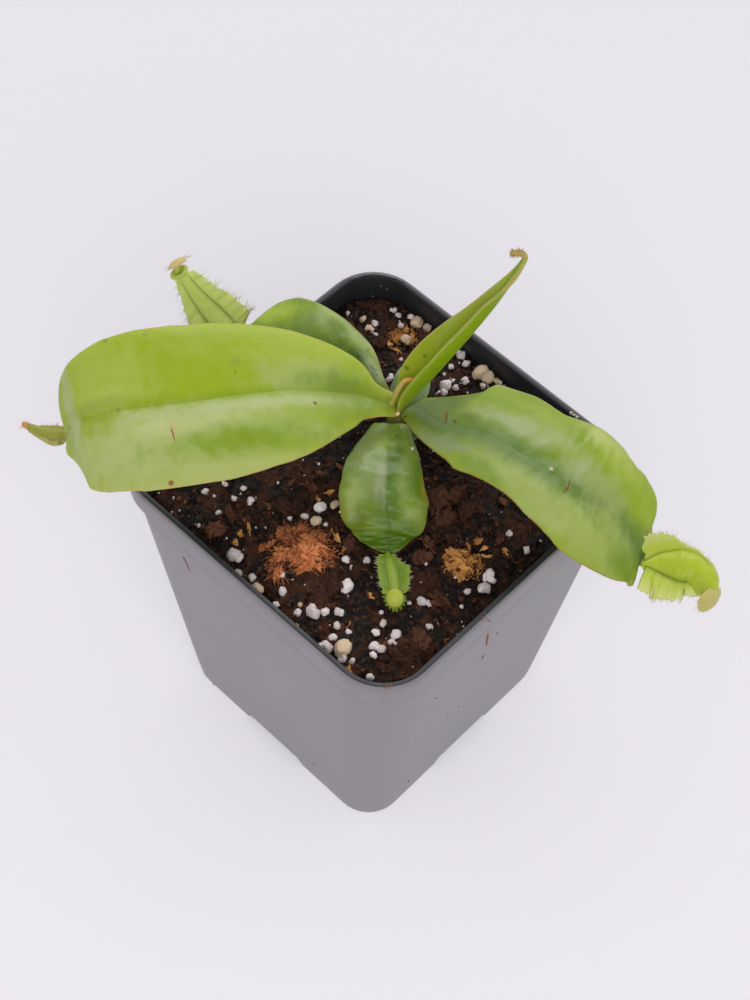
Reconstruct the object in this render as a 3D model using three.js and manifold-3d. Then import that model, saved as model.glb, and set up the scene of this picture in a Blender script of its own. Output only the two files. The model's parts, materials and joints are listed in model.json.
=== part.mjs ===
// A young tropical pitcher plant in a square, thin-walled nursery pot.
// Millimetres, +Z up. The origin is the middle of the pot's underside, on the surface that the pot stands on,
// and the pot's sides are parallel to X and Y. The pot holds a peat and perlite mix. A short stem stands in it
// and carries the leaves, and a leaf's midrib runs on as a tendril that carries a pitcher.
import * as THREE from "three";
import { mergeVertices } from "three/addons/utils/BufferGeometryUtils.js";
import Module from "manifold-3d";

// Gap that is kept between neighbouring solids.
const GAP = 0.3;

// Nursery pot: outside sizes of a 3 inch square pot.
const POT = {
  height: 82,
  rimSide: 76,
  rimRadius: 11,
  bandHeight: 5.5,
  bandEdge: 0.3,
  bodySide: 75.2,
  bodyRadius: 13,
  baseSide: 59,
  baseRadius: 8,
  wall: 1.1,
  lip: 1.7,
  lipRound: 0.5,
  floor: 1.2,
};
const BAND_Z = POT.height - POT.bandHeight;

// Drainage channel under the middle of each side, with a round hole in its roof.
const CHANNEL = { width: 18, roofWidth: 15, height: 2.8, length: 15, holeRadius: 3, holeInset: 10 };

// Potting mix: a level surface, raised a little round the stem and under the tufts of moss. Its sides follow
// the pot up to the shoulder, and rings of points run from there to the middle of the surface.
const SOIL = {
  surface: 76.2,
  mound: 1.1,
  moundReach: 22,
  edgeDip: 0.9,
  edgeReach: 3,
  shoulder: 70,
  rings: 12,
  points: 48,
};
// Each tuft: its middle, how high it raises the soil, and how far from its middle.
const MOSS = [
  { x: 1.3, y: -23, height: 2.2, reach: 5.5 },
  { x: 25, y: -2, height: 2, reach: 3.8 },
  { x: -1.5, y: -9, height: 1.2, reach: 5 },
];
const SMALL_GRAINS = { count: 34, least: 0.6, most: 1.1, fromWall: 4.5, cornerLimit: 1.72, seed: 7 };
const GRAIN_SUNK = 0.15;
// The larger perlite and pumice grains, where they lie: x, y, radius.
const LARGE_GRAINS = [
  [-22, -26.3, 1],
  [-14, -21.5, 0.9],
  [-7.1, -32.5, 1.9],
  [-3.8, -34, 1.2],
  [1.3, -34, 1.6],
  [2.5, -29.2, 1.2],
  [4.9, -31.6, 1],
  [12.3, -31, 1.6],
  [14, -29, 1.1],
  [15.8, -27.3, 1.2],
  [17.5, -29.5, 1.1],
  [19, -34, 1.7],
  [21.8, -32.2, 2],
  [23.3, -33.8, 1.2],
  [23.8, -25.3, 1.1],
  [25.6, -27.8, 1],
  [27.3, -26, 1.2],
  [26.7, -22.9, 1.2],
  [13, -22.3, 1.5],
  [25.3, -14.1, 1.2],
  [30.6, -0.8, 1.5],
  [31.6, -3.6, 1.6],
  [31.8, 9, 1.2],
  [-2.9, -13.4, 1.6],
  [-1, -16.4, 1.4],
  [-3.6, -17, 1.1],
  [-27.4, 33, 1.1],
  [-21.6, 33.8, 1.8],
  [-19.5, 34.2, 1.2],
  [-20.2, 29.7, 1.5],
  [-27.6, 26.3, 1.2],
  [-10.2, 34.6, 1.2],
  [-3.4, 34, 2],
  [-0.4, 34.8, 1.6],
  [-6.3, 26.7, 1.4],
  [-4.3, 30.7, 1.1],
  [-15.4, 19.8, 1.2],
];
// Round these places no small grain lies: the stem and the front pitcher.
const GRAIN_CLEARANCES = [
  { x: -5, y: 10, reach: 5 },
  { x: 18.5, y: -15, reach: 7.5 },
];

// Strip of bark that lies over the rim at the left corner. Its section is in half widths and half thicknesses.
const BARK = {
  width: 2.2,
  thickness: 1.2,
  taper: 0.25,
  steps: 6,
  section: [
    [1, -0.6],
    [0.8, 0.8],
    [-0.2, 1],
    [-1, 0.3],
    [-0.7, -1],
  ],
  stations: [
    [-38.4, -28.2, 82.9],
    [-34.4, -28, 82.8],
    [-30.6, -27.2, 80.2],
    [-27, -26, 77.05],
  ],
};

// Stem: radius at each height, from the foot of its hole to the crown.
const STEM = {
  x: -5,
  y: 10,
  holeRadius: 2.4,
  foot: 62,
  profile: [
    [1.9, 62],
    [1.9, 76],
    [1.6, 78],
    [1.9, 79.4],
    [1.6, 81],
    [1.8, 82.6],
    [1.5, 84.2],
    [1.7, 85.6],
    [1.3, 86.8],
  ],
};

// Leaves. A station is [x, y, z, right half width, left half width, sweep], from the stem to the tip. Right and
// left are as seen by someone who walks from the stem to the tip, and the sweep turns the line from margin to
// margin by that many degrees, its right end towards the tip. Each half leaves the midrib at its fold angle and
// turns through its curl angle on the way to the margin, upwards where the angle is positive.
const LEAVES = {
  leaf_left: {
    colour: 0x9dbb35,
    rightFold: 16,
    rightCurl: -22,
    leftFold: 14,
    leftCurl: -26,
    waves: 2.5,
    waveHeight: 0.5,
    steps: 26,
    stations: [
      [-6.3, 8.9, 87.3, 2.8, 2.6, 0],
      [-10.2, 2, 91.5, 11.2, 5.2, 0],
      [-14.5, -7.4, 95.5, 17.2, 10.5, 0],
      [-20.2, -17.7, 98.6, 19.2, 15, 0],
      [-26.2, -27.4, 100.4, 20, 16.6, 2],
      [-32.6, -36, 100.6, 19, 15.6, 8],
      [-37.8, -41, 98.9, 18, 12.6, 17],
      [-40.4, -42.5, 95.5, 15.6, 5, 22],
      [-41.6, -42.2, 91.5, 7.5, 1.5, 16],
      [-42.8, -41, 88, 0.6, 0.6, 0],
      [-44.8, -40.2, 86, 0.6, 0.6, 0],
    ],
  },
  leaf_right: {
    colour: 0x86ab3a,
    rightFold: 10,
    rightCurl: -24,
    leftFold: 12,
    leftCurl: -28,
    waves: 4,
    waveHeight: 0.6,
    steps: 26,
    stations: [
      [-2.5, 11, 85.7, 1.9, 2.8, 0],
      [6.3, 11, 91, 5.2, 10.6, 0],
      [14.2, 13.1, 94.4, 9.8, 12.4, 0],
      [23.2, 14.2, 95.6, 9, 14.8, 0],
      [31.2, 15.4, 94.8, 10.2, 15.6, 0],
      [37.9, 17.2, 92.8, 11.8, 15.6, 4],
      [44.1, 18.4, 89.8, 11.8, 15.4, 12],
      [48.6, 19.2, 86.4, 8.6, 11.5, 24],
      [51.2, 18.8, 83.6, 0.6, 0.6, 0],
    ],
  },
  leaf_front: {
    colour: 0x6f9e3c,
    rightFold: 12,
    rightCurl: -30,
    leftFold: 12,
    leftCurl: -30,
    waves: 4.5,
    waveHeight: 0.35,
    steps: 22,
    stations: [
      [-4, 8, 84.2, 4, 3.4, 0],
      [0.7, 2.4, 86, 6.9, 5.8, 0],
      [5.2, -3, 86.6, 8.8, 7.4, 0],
      [8.7, -6.9, 85.2, 9, 8.4, 0],
      [11.4, -9.2, 82.8, 8, 7.8, 0],
      [12.9, -10.6, 80.6, 5.2, 5, 0],
      [13.9, -11.7, 79.2, 0.6, 0.6, 0],
    ],
  },
  leaf_back: {
    colour: 0x5f9040,
    rightFold: 10,
    rightCurl: -30,
    leftFold: 10,
    leftCurl: -30,
    waves: 2.5,
    waveHeight: 0.4,
    steps: 22,
    stations: [
      [-7.3, 10.6, 82.6, 2.2, 2.4, 0],
      [-12.6, 12.2, 85.4, 2, 5, 0],
      [-18.6, 13, 87.4, 3.4, 6, 0],
      [-24.4, 12, 88.4, 5.4, 7, 0],
      [-30, 9.8, 88.2, 7, 8, 0],
      [-35, 7.2, 86.6, 7.4, 8, 0],
      [-39.4, 5, 84.2, 4.8, 5.6, 0],
      [-42.2, 4.2, 81, 0.8, 0.8, 0],
      [-43.6, 4.2, 78.2, 0.6, 0.6, 0],
    ],
  },
  leaf_young: {
    colour: 0x8cae2c,
    rightFold: 35,
    rightCurl: 75,
    leftFold: 20,
    leftCurl: 45,
    waves: 0,
    waveHeight: 0,
    steps: 24,
    stations: [
      [-4.4, 10.2, 87.4, 1.8, 1.8, 0],
      [-2, 13.8, 94, 4.6, 5, 0],
      [0.9, 18.1, 103, 5.2, 5.2, 0],
      [3.7, 22.4, 112.4, 4.2, 3.5, 0],
      [5.8, 25.8, 120.6, 2.4, 1.8, 0],
      [6.8, 27.7, 125.2, 1, 0.8, 0],
      [7.1, 28.6, 127.4, 0.6, 0.6, 0],
      [6.4, 28.1, 128.6, 0.7, 0.7, 0],
      [4.9, 26.8, 128.2, 0.5, 0.5, 0],
    ],
  },
  leaf_low_back: {
    colour: 0x6d9455,
    rightFold: 14,
    rightCurl: -20,
    leftFold: 14,
    leftCurl: -20,
    waves: 1.5,
    waveHeight: 0.25,
    steps: 9,
    stations: [
      [-5.8, 12.2, 80.2, 1.8, 1.8, 0],
      [-7.2, 15.4, 82.2, 3.8, 3.6, 0],
      [-8.8, 18.6, 83, 4, 3.6, 0],
      [-10.8, 21.4, 82.8, 2.8, 2.6, 0],
      [-12.2, 23.2, 82, 0.6, 0.6, 0],
    ],
  },
  leaf_low_right: {
    colour: 0x4f7a33,
    rightFold: 12,
    rightCurl: -20,
    leftFold: 12,
    leftCurl: -20,
    waves: 1.5,
    waveHeight: 0.25,
    steps: 9,
    stations: [
      [-3.2, 11.5, 78.4, 1.6, 1.4, 0],
      [-0.6, 14.6, 80.8, 3.4, 3, 0],
      [1.6, 18, 82.2, 3.8, 3.8, 0],
      [4.6, 20.6, 81.8, 2.8, 2.8, 0],
      [6.6, 22, 80.8, 0.6, 0.6, 0],
    ],
  },
};
const BLADE = { thickness: 0.7, keel: 0.5, tendrilThickness: 1.1, columns: [-1, -0.7, -0.35, 0, 0.35, 0.7, 1] };

// Newest leaf, still a rolled rod with a bent tip: centreline and radius.
const BUD = {
  colour: 0xc9a95a,
  stations: [
    [-4.9, 8.2, 89.9, 0.6],
    [-4.8, 9.4, 92.5, 0.6],
    [-4.5, 10.8, 94.7, 0.5],
    [-4, 11.4, 95.6, 0.45],
    [-3, 12.3, 95.9, 0.3],
  ],
};

// Pitchers. A station is [x, y, z, radius], from the mouth to the tendril. front points out of the side that
// has the two wings, at the mouth. A wing stands wingAngle degrees from it, runs from wingFrom to wingTo along
// the body, and is toothed by its fringe. A closed pitcher has no mouthDepth.
const PITCHERS = {
  pitcher_right: {
    colour: 0xa3bb35,
    front: [0.35, -0.42, 0.85],
    stations: [
      [64, 24.4, 81.6, 1.8],
      [62, 25, 80.8, 3],
      [59, 25, 80, 4.2],
      [55.8, 23.8, 80.2, 4.2],
      [53, 21.4, 81.2, 2.6],
      [51.5, 19.1, 82.9, 0.6],
    ],
    wingAngle: 76,
    wingWidth: 2.7,
    wingFrom: 0.42,
    wingTo: 0.98,
    teeth: 9,
    mouthDepth: 0,
    lid: {
      centre: [65.4, 22.6, 82.2],
      length: 3.6,
      width: 1.9,
      along: [0.1, -0.95, 0.25],
      normal: [0.7, 0.1, 0.7],
    },
  },
  pitcher_front: {
    colour: 0x8fb43c,
    front: [0, 0, 1],
    stations: [
      [22, -18.4, 80.2, 1.6],
      [20.2, -16.8, 79.6, 1.8],
      [17.8, -14.9, 79.2, 1.9],
      [15.8, -13.4, 79.1, 1.5],
      [14.3, -12.2, 79.2, 0.6],
    ],
    wingAngle: 72,
    wingWidth: 1.8,
    wingFrom: 0,
    wingTo: 0.94,
    teeth: 7,
    mouthDepth: 0,
    lid: {
      centre: [21.5, -18, 81.4],
      length: 2.1,
      width: 1.8,
      along: [0.7, -0.7, 0.1],
      normal: [0.25, -0.3, 0.92],
    },
  },
  pitcher_back: {
    colour: 0x9db84a,
    front: [0.55, -0.3, 0.78],
    stations: [
      [-58.4, 2.6, 87.6, 2],
      [-55.4, 4.4, 82.6, 2.8],
      [-51.8, 5.6, 78.2, 3.7],
      [-47.8, 5.6, 75.6, 3.7],
      [-44.9, 4.8, 75.6, 2.2],
      [-43.6, 4.2, 77.6, 0.6],
    ],
    wingAngle: 74,
    wingWidth: 1.9,
    wingFrom: 0.04,
    wingTo: 0.8,
    teeth: 11,
    mouthDepth: 1.4,
    lid: {
      centre: [-60.5, 2.9, 90.2],
      length: 2.3,
      width: 1.7,
      along: [0.25, 0.9, 0.34],
      normal: [-0.69, -0.06, 0.67],
    },
  },
  pitcher_left: {
    colour: 0xa0a244,
    front: [0, 0, 1],
    stations: [
      [-53, -43.4, 86.2, 0.8],
      [-50.8, -42.2, 85.4, 1.3],
      [-48.6, -41, 85, 1.8],
      [-46.8, -40.3, 85.2, 1.4],
      [-45.3, -40.3, 85.8, 0.6],
    ],
    wingAngle: 75,
    wingWidth: 0.7,
    wingFrom: 0.15,
    wingTo: 0.85,
    teeth: 4,
    mouthDepth: 0,
    lid: {
      centre: [-53.5, -43.8, 86.8],
      length: 0.9,
      width: 0.7,
      along: [-0.6, -0.3, 0.7],
      normal: [0.3, 0, 0.9],
    },
  },
};
const WING = { thickness: 0.6, root: 0.45, between: 0.72 };
const LID_THICKNESS = 0.45;
const LID_NECK = { behind: 0.8, into: 0.6, radius: 0.7, endRadius: 0.5 };
const PERISTOME = 0.4;
const CUP = { floor: 0.55, rim: 0.7 };
const PITCHER_RINGS = 10;
const PITCHER_SIDES = 10;

const wasm = await Module();
wasm.setup();
const { Manifold, Mesh: SolidMesh } = wasm;

// ---------------------------------------------------------------- solids

// A closed geometry as a manifold-3d solid.
function solidOf(geometry) {
  const plain = geometry.clone();
  plain.deleteAttribute("normal");
  plain.deleteAttribute("uv");
  const merged = mergeVertices(plain, 1e-4);
  return new Manifold(
    new SolidMesh({
      numProp: 3,
      vertProperties: new Float32Array(merged.attributes.position.array),
      triVerts: new Uint32Array(merged.index.array),
    }),
  );
}

// The largest of a solid's separate bodies.
function largest(solid) {
  return solid.decompose().reduce((most, body) => (body.volume() > most.volume() ? body : most));
}

function geometryOf(solid) {
  const mesh = solid.getMesh();
  const geometry = new THREE.BufferGeometry();
  geometry.setAttribute("position", new THREE.BufferAttribute(new Float32Array(mesh.vertProperties), 3));
  geometry.setIndex(new THREE.BufferAttribute(new Uint32Array(mesh.triVerts), 1));
  geometry.computeVertexNormals();
  return geometry;
}

function node(name, geometry, colour, roughness) {
  const material = new THREE.MeshStandardMaterial({ color: colour, roughness, metalness: 0 });
  const mesh = new THREE.Mesh(geometry, material);
  mesh.name = name;
  return mesh;
}

// Joins rings of equally many points into a closed skin, with a fan over each end.
function skin(rings) {
  const count = rings[0].length;
  const positions = rings.flat().flatMap((p) => [p.x, p.y, p.z]);
  const index = [];
  for (let r = 0; r + 1 < rings.length; r++) {
    for (let i = 0; i < count; i++) {
      const a = r * count + i;
      const b = r * count + ((i + 1) % count);
      index.push(a, b, b + count, a, b + count, a + count);
    }
  }
  for (const [ring, first, facesBack] of [
    [rings[0], 0, true],
    [rings.at(-1), (rings.length - 1) * count, false],
  ]) {
    const middle = ring.reduce((sum, p) => sum.add(p), new THREE.Vector3()).divideScalar(count);
    const hub = positions.length / 3;
    positions.push(middle.x, middle.y, middle.z);
    for (let i = 0; i < count; i++) {
      const a = first + i;
      const b = first + ((i + 1) % count);
      index.push(...(facesBack ? [b, a, hub] : [a, b, hub]));
    }
  }
  const geometry = new THREE.BufferGeometry();
  geometry.setAttribute("position", new THREE.Float32BufferAttribute(positions, 3));
  geometry.setIndex(index);
  return geometry;
}

// Repeatable random numbers from 0 to 1.
function randomFrom(seed) {
  let state = seed >>> 0;
  return () => {
    state = (state + 0x6d2b79f5) >>> 0;
    let t = Math.imul(state ^ (state >>> 15), 1 | state);
    t = (t + Math.imul(t ^ (t >>> 7), 61 | t)) ^ t;
    return ((t ^ (t >>> 14)) >>> 0) / 4294967296;
  };
}

// Smooth values between stations, which are rows of numbers; t runs from 0 to 1.
function between(stations, t) {
  const last = stations.length - 1;
  const k = Math.min(Math.floor(t * last), last - 1);
  const u = t * last - k;
  const b = stations[k];
  const c = stations[k + 1];
  const a = stations[k - 1] ?? b.map((value, i) => 2 * value - c[i]);
  const d = stations[k + 2] ?? c.map((value, i) => 2 * value - b[i]);
  return b.map((value, i) => {
    const linear = c[i] - a[i];
    const square = 2 * a[i] - 5 * value + 4 * c[i] - d[i];
    const cube = 3 * value - a[i] - 3 * c[i] + d[i];
    return 0.5 * (2 * value + linear * u + square * u * u + cube * u * u * u);
  });
}

// Frames along a line of stations: the point, its tangent, and an across direction carried along untwisted.
function framesAlong(stations, steps, firstAcross) {
  const frames = [];
  for (let i = 0; i <= steps; i++) {
    const values = between(stations, i / steps);
    frames.push({ t: i / steps, values, point: new THREE.Vector3(...values.slice(0, 3)) });
  }
  const turn = new THREE.Quaternion();
  frames.forEach((frame, i) => {
    const next = frames[Math.min(i + 1, steps)].point;
    const previous = frames[Math.max(i - 1, 0)].point;
    frame.tangent = next.clone().sub(previous).normalize();
    if (i === 0) {
      const across = firstAcross ?? frame.tangent.clone().cross(new THREE.Vector3(0, 0, 1));
      frame.across = across.clone().addScaledVector(frame.tangent, -across.dot(frame.tangent)).normalize();
    } else {
      turn.setFromUnitVectors(frames[i - 1].tangent, frame.tangent);
      frame.across = frames[i - 1].across.clone().applyQuaternion(turn);
    }
    frame.up = frame.across.clone().cross(frame.tangent);
  });
  return frames;
}

// ---------------------------------------------------------------- pot

function roundedSquare(side, radius) {
  const h = side / 2;
  const s = h - radius;
  const path = new THREE.Shape();
  path.moveTo(h, -s);
  path.lineTo(h, s);
  path.absarc(s, s, radius, 0, Math.PI / 2, false);
  path.lineTo(-s, h);
  path.absarc(-s, s, radius, Math.PI / 2, Math.PI, false);
  path.lineTo(-h, -s);
  path.absarc(-s, -s, radius, Math.PI, 1.5 * Math.PI, false);
  path.lineTo(s, -h);
  path.absarc(s, -s, radius, 1.5 * Math.PI, 2 * Math.PI, false);
  return path;
}

// A ring whose round corners have seven points each.
function potRing(side, radius, z) {
  const points = roundedSquare(side, radius).getPoints(6);
  const ring = points.filter((p, i) => i === 0 || p.distanceTo(points[i - 1]) > 1e-6);
  if (ring.at(-1).distanceTo(ring[0]) < 1e-6) ring.pop();
  return ring.map((p) => new THREE.Vector3(p.x, p.y, z));
}

// The hollow of the pot, from its floor to above its lip.
function potHollow() {
  const { wall, lip, floor } = POT;
  const climb = (POT.bodySide - POT.baseSide) / BAND_Z;
  const lipStep = 1;
  return solidOf(
    skin([
      potRing(POT.baseSide + climb * floor - 2 * wall, POT.baseRadius - wall, floor),
      potRing(POT.bodySide - 2 * wall, POT.bodyRadius - wall, BAND_Z - lipStep),
      potRing(POT.rimSide - 2 * lip, POT.rimRadius - lip, BAND_Z + lipStep),
      potRing(POT.rimSide - 2 * lip, POT.rimRadius - lip, POT.height + 1),
    ]),
  );
}

// The four drainage channels as solids, thicker by cover on their roof, sides and inner end.
function channels(cover) {
  const half = CHANNEL.width / 2 + cover;
  const roof = CHANNEL.roofWidth / 2 + cover;
  const below = 1;
  const profile = new THREE.Shape();
  profile.moveTo(-half, -below);
  profile.lineTo(half, -below);
  profile.lineTo(half, 0);
  profile.lineTo(roof, CHANNEL.height + cover);
  profile.lineTo(-roof, CHANNEL.height + cover);
  profile.lineTo(-half, 0);
  const beyond = 4;
  const geometry = new THREE.ExtrudeGeometry(profile, {
    depth: CHANNEL.length + cover + beyond,
    bevelEnabled: false,
  });
  geometry.rotateX(Math.PI / 2);
  geometry.translate(0, POT.baseSide / 2 + beyond, 0);
  return Array.from({ length: 4 }, (_, i) => solidOf(geometry.clone().rotateZ((i * Math.PI) / 2)));
}

// The four round holes that run up through the channels' roofs.
function drainHoles() {
  const length = 4 * CHANNEL.height;
  const hole = new THREE.CylinderGeometry(CHANNEL.holeRadius, CHANNEL.holeRadius, length, 16);
  hole.rotateX(Math.PI / 2);
  hole.translate(0, POT.baseSide / 2 - CHANNEL.holeInset, 0);
  return Array.from({ length: 4 }, (_, i) => solidOf(hole.clone().rotateZ((i * Math.PI) / 2)));
}

function pot() {
  const outside = solidOf(
    skin([
      potRing(POT.baseSide, POT.baseRadius, 0),
      potRing(POT.bodySide, POT.bodyRadius, BAND_Z),
      potRing(POT.rimSide, POT.rimRadius, BAND_Z + POT.bandEdge),
      potRing(POT.rimSide, POT.rimRadius, POT.height - POT.lipRound),
      potRing(POT.rimSide - 2 * POT.lipRound, POT.rimRadius - POT.lipRound, POT.height),
    ]),
  );
  const hollow = Manifold.difference([potHollow(), ...channels(POT.floor)]);
  const solid = Manifold.difference([outside, hollow, ...channels(0), ...drainHoles()]);
  return node("pot", geometryOf(solid), 0x2b2c30, 0.4);
}

// ---------------------------------------------------------------- soil

// The small unevenness of the surface.
const ripple = (x, y) =>
  0.34 * Math.sin(0.53 * x + 1.3) * Math.sin(0.47 * y + 0.4) +
  0.26 * Math.sin(0.91 * x - 0.62 * y + 2.1) +
  0.18 * Math.sin(1.37 * x + 1.11 * y) * Math.sin(0.83 * y - 1.9);

function soilHeight(x, y) {
  const fromMiddle = Math.hypot(x, y);
  const fromWall = POT.bodySide / 2 - Math.max(Math.abs(x), Math.abs(y));
  let z = SOIL.surface + SOIL.mound * Math.exp(-((fromMiddle / SOIL.moundReach) ** 2));
  for (const tuft of MOSS) {
    const away = Math.hypot(x - tuft.x, y - tuft.y) / tuft.reach;
    z += tuft.height * Math.exp(-(away ** 2)) * (1 + 0.25 * Math.sin(2.1 * x) * Math.cos(1.9 * y));
  }
  return z + ripple(x, y) - SOIL.edgeDip * Math.exp(-fromWall / SOIL.edgeReach);
}

// One grain: an uneven, slightly flattened lump that sits in the surface.
function grain(x, y, radius, random) {
  const geometry = new THREE.IcosahedronGeometry(radius, 0);
  geometry.scale(1, 0.75 + 0.25 * random(), 0.65 + 0.25 * random());
  geometry.rotateX(3 * random());
  geometry.rotateZ(6 * random());
  geometry.translate(x, y, soilHeight(x, y) - GRAIN_SUNK * radius);
  return solidOf(geometry);
}

function grains() {
  const random = randomFrom(SMALL_GRAINS.seed);
  const solids = LARGE_GRAINS.map(([x, y, radius]) => grain(x, y, radius, random));
  const reach = POT.bodySide / 2 - SMALL_GRAINS.fromWall;
  while (solids.length < LARGE_GRAINS.length + SMALL_GRAINS.count) {
    const x = reach * (2 * random() - 1);
    const y = reach * (2 * random() - 1);
    const radius = SMALL_GRAINS.least + (SMALL_GRAINS.most - SMALL_GRAINS.least) * random();
    const inCorner = Math.abs(x) + Math.abs(y) > SMALL_GRAINS.cornerLimit * reach;
    const blocked = GRAIN_CLEARANCES.some((c) => Math.hypot(x - c.x, y - c.y) < c.reach);
    if (!inCorner && !blocked) solids.push(grain(x, y, radius, random));
  }
  return solids;
}

function soil() {
  const bottom = POT.floor + GAP;
  const climb = (POT.bodySide - POT.baseSide) / BAND_Z;
  const sideAt = (z) => POT.baseSide + climb * z - 2 * (POT.wall + GAP);
  const radiusAt = (z) => THREE.MathUtils.lerp(POT.baseRadius, POT.bodyRadius, z / BAND_Z) - POT.wall - GAP;
  const ringAt = (z) =>
    roundedSquare(sideAt(z), radiusAt(z))
      .getSpacedPoints(SOIL.points)
      .slice(0, SOIL.points)
      .map((p) => new THREE.Vector3(p.x, p.y, z));
  const onSurface = (x, y) => new THREE.Vector3(x, y, soilHeight(x, y));
  const shoulder = ringAt(SOIL.shoulder);
  const rings = [ringAt(bottom), shoulder];
  for (let k = 0; k < SOIL.rings; k++) {
    const share = 1 - k / SOIL.rings;
    rings.push(shoulder.map((p) => onSurface(p.x * share, p.y * share)));
  }
  const holeFoot = STEM.foot - GAP;
  const holeLength = 30;
  const hole = new THREE.CylinderGeometry(STEM.holeRadius, STEM.holeRadius, holeLength, 14);
  hole.rotateX(Math.PI / 2);
  hole.translate(STEM.x, STEM.y, holeFoot + holeLength / 2);
  const packed = Manifold.difference([solidOf(skin(rings)), ...channels(POT.floor + GAP)]);
  const solid = Manifold.union([packed, ...grains()]).subtract(solidOf(hole));
  return node("soil", geometryOf(largest(solid)), 0x35211a, 0.95);
}

function bark() {
  const frames = framesAlong(BARK.stations, BARK.steps);
  const rings = frames.map(({ point, across, up, t }) => {
    const half = (BARK.width / 2) * (1 - BARK.taper * t);
    const rise = BARK.thickness / 2;
    return BARK.section.map(([a, n]) => {
      return point.clone().addScaledVector(across, a * half).addScaledVector(up, n * rise);
    });
  });
  return node("bark_strip", outward(skin(rings)), 0x5a3222, 0.9);
}

// ---------------------------------------------------------------- plant

// Turns a closed skin's faces out, if they point in.
function outward(geometry) {
  const position = geometry.attributes.position;
  const index = geometry.index.array;
  const [a, b, c] = [new THREE.Vector3(), new THREE.Vector3(), new THREE.Vector3()];
  let volume = 0;
  for (let i = 0; i < index.length; i += 3) {
    a.fromBufferAttribute(position, index[i]);
    b.fromBufferAttribute(position, index[i + 1]);
    c.fromBufferAttribute(position, index[i + 2]);
    volume += a.dot(b.cross(c));
  }
  if (volume < 0) for (let i = 0; i < index.length; i += 3) [index[i], index[i + 1]] = [index[i + 1], index[i]];
  geometry.computeVertexNormals();
  return geometry;
}

function stem() {
  const profile = STEM.profile.map(([radius, z]) => new THREE.Vector2(radius, z));
  const foot = new THREE.Vector2(0, STEM.profile[0][1]);
  const crown = new THREE.Vector2(0, STEM.profile.at(-1)[1]);
  const geometry = new THREE.LatheGeometry([foot, ...profile, crown], 10);
  geometry.rotateX(Math.PI / 2);
  geometry.translate(STEM.x, STEM.y, 0);
  return node("stem", geometryOf(solidOf(geometry)), 0x7d9440, 0.6);
}

// Where a half blade is at distance s from the midrib: how far across and up, and its slope there.
function halfSection(s, half, fold, curl) {
  const start = THREE.MathUtils.degToRad(fold);
  const bend = THREE.MathUtils.degToRad(curl) / Math.max(half, 0.1);
  const slope = start + bend * s;
  if (Math.abs(bend) < 1e-6) return { across: s * Math.cos(start), up: s * Math.sin(start), slope };
  return {
    across: (Math.sin(slope) - Math.sin(start)) / bend,
    up: (Math.cos(start) - Math.cos(slope)) / bend,
    slope,
  };
}

// A blade with its stalk and tendril: an upper and a lower face with the same triangles.
function blade(leaf) {
  const { columns } = BLADE;
  const frames = framesAlong(leaf.stations, leaf.steps);
  const positions = [];
  for (const { t, values, point, across, up: n } of frames) {
    const a = across.clone().applyAxisAngle(n, THREE.MathUtils.degToRad(values[5]));
    for (const v of columns) {
      const right = v >= 0;
      const half = Math.max(0.5, right ? values[3] : values[4]);
      const slim = THREE.MathUtils.smoothstep(half, 0.6, 3);
      const fold = (right ? leaf.rightFold : leaf.leftFold) * slim;
      const curl = (right ? leaf.rightCurl : leaf.leftCurl) * slim;
      const place = halfSection(Math.abs(v) * half, half, fold, curl);
      const side = right ? 1 : -1;
      const normal = n.clone().multiplyScalar(Math.cos(place.slope));
      if (v !== 0) normal.addScaledVector(a, -side * Math.sin(place.slope));
      const phase = 2 * Math.PI * leaf.waves * t + (right ? 0 : 2);
      const wave = leaf.waveHeight * slim * v * v * Math.sin(phase) * Math.sin(Math.PI * t);
      const middle = point.clone().addScaledVector(a, side * place.across).addScaledVector(n, place.up + wave);
      const thickness = THREE.MathUtils.lerp(BLADE.tendrilThickness, BLADE.thickness, slim);
      const keel = v === 0 ? BLADE.keel * slim : 0;
      const top = middle.clone().addScaledVector(normal, thickness / 2);
      const bottom = middle.clone().addScaledVector(normal, -thickness / 2 - keel);
      positions.push(top.x, top.y, top.z, bottom.x, bottom.y, bottom.z);
    }
  }
  const wide = columns.length;
  const top = (i, j) => 2 * (i * wide + j);
  const index = [];
  const quad = (a, b, c, d) => index.push(a, b, c, a, c, d);
  for (let i = 0; i < leaf.steps; i++) {
    for (let j = 0; j + 1 < wide; j++) {
      const [a, b, c, d] = [top(i, j), top(i, j + 1), top(i + 1, j + 1), top(i + 1, j)];
      quad(a, b, c, d);
      index.push(a + 1, c + 1, b + 1, a + 1, d + 1, c + 1);
    }
    quad(top(i, 0), top(i + 1, 0), top(i + 1, 0) + 1, top(i, 0) + 1);
    quad(top(i + 1, wide - 1), top(i, wide - 1), top(i, wide - 1) + 1, top(i + 1, wide - 1) + 1);
  }
  for (let j = 0; j + 1 < wide; j++) {
    quad(top(0, j + 1), top(0, j), top(0, j) + 1, top(0, j + 1) + 1);
    quad(top(leaf.steps, j), top(leaf.steps, j + 1), top(leaf.steps, j + 1) + 1, top(leaf.steps, j) + 1);
  }
  const geometry = new THREE.BufferGeometry();
  geometry.setAttribute("position", new THREE.Float32BufferAttribute(positions, 3));
  geometry.setIndex(index);
  return outward(geometry);
}

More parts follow.
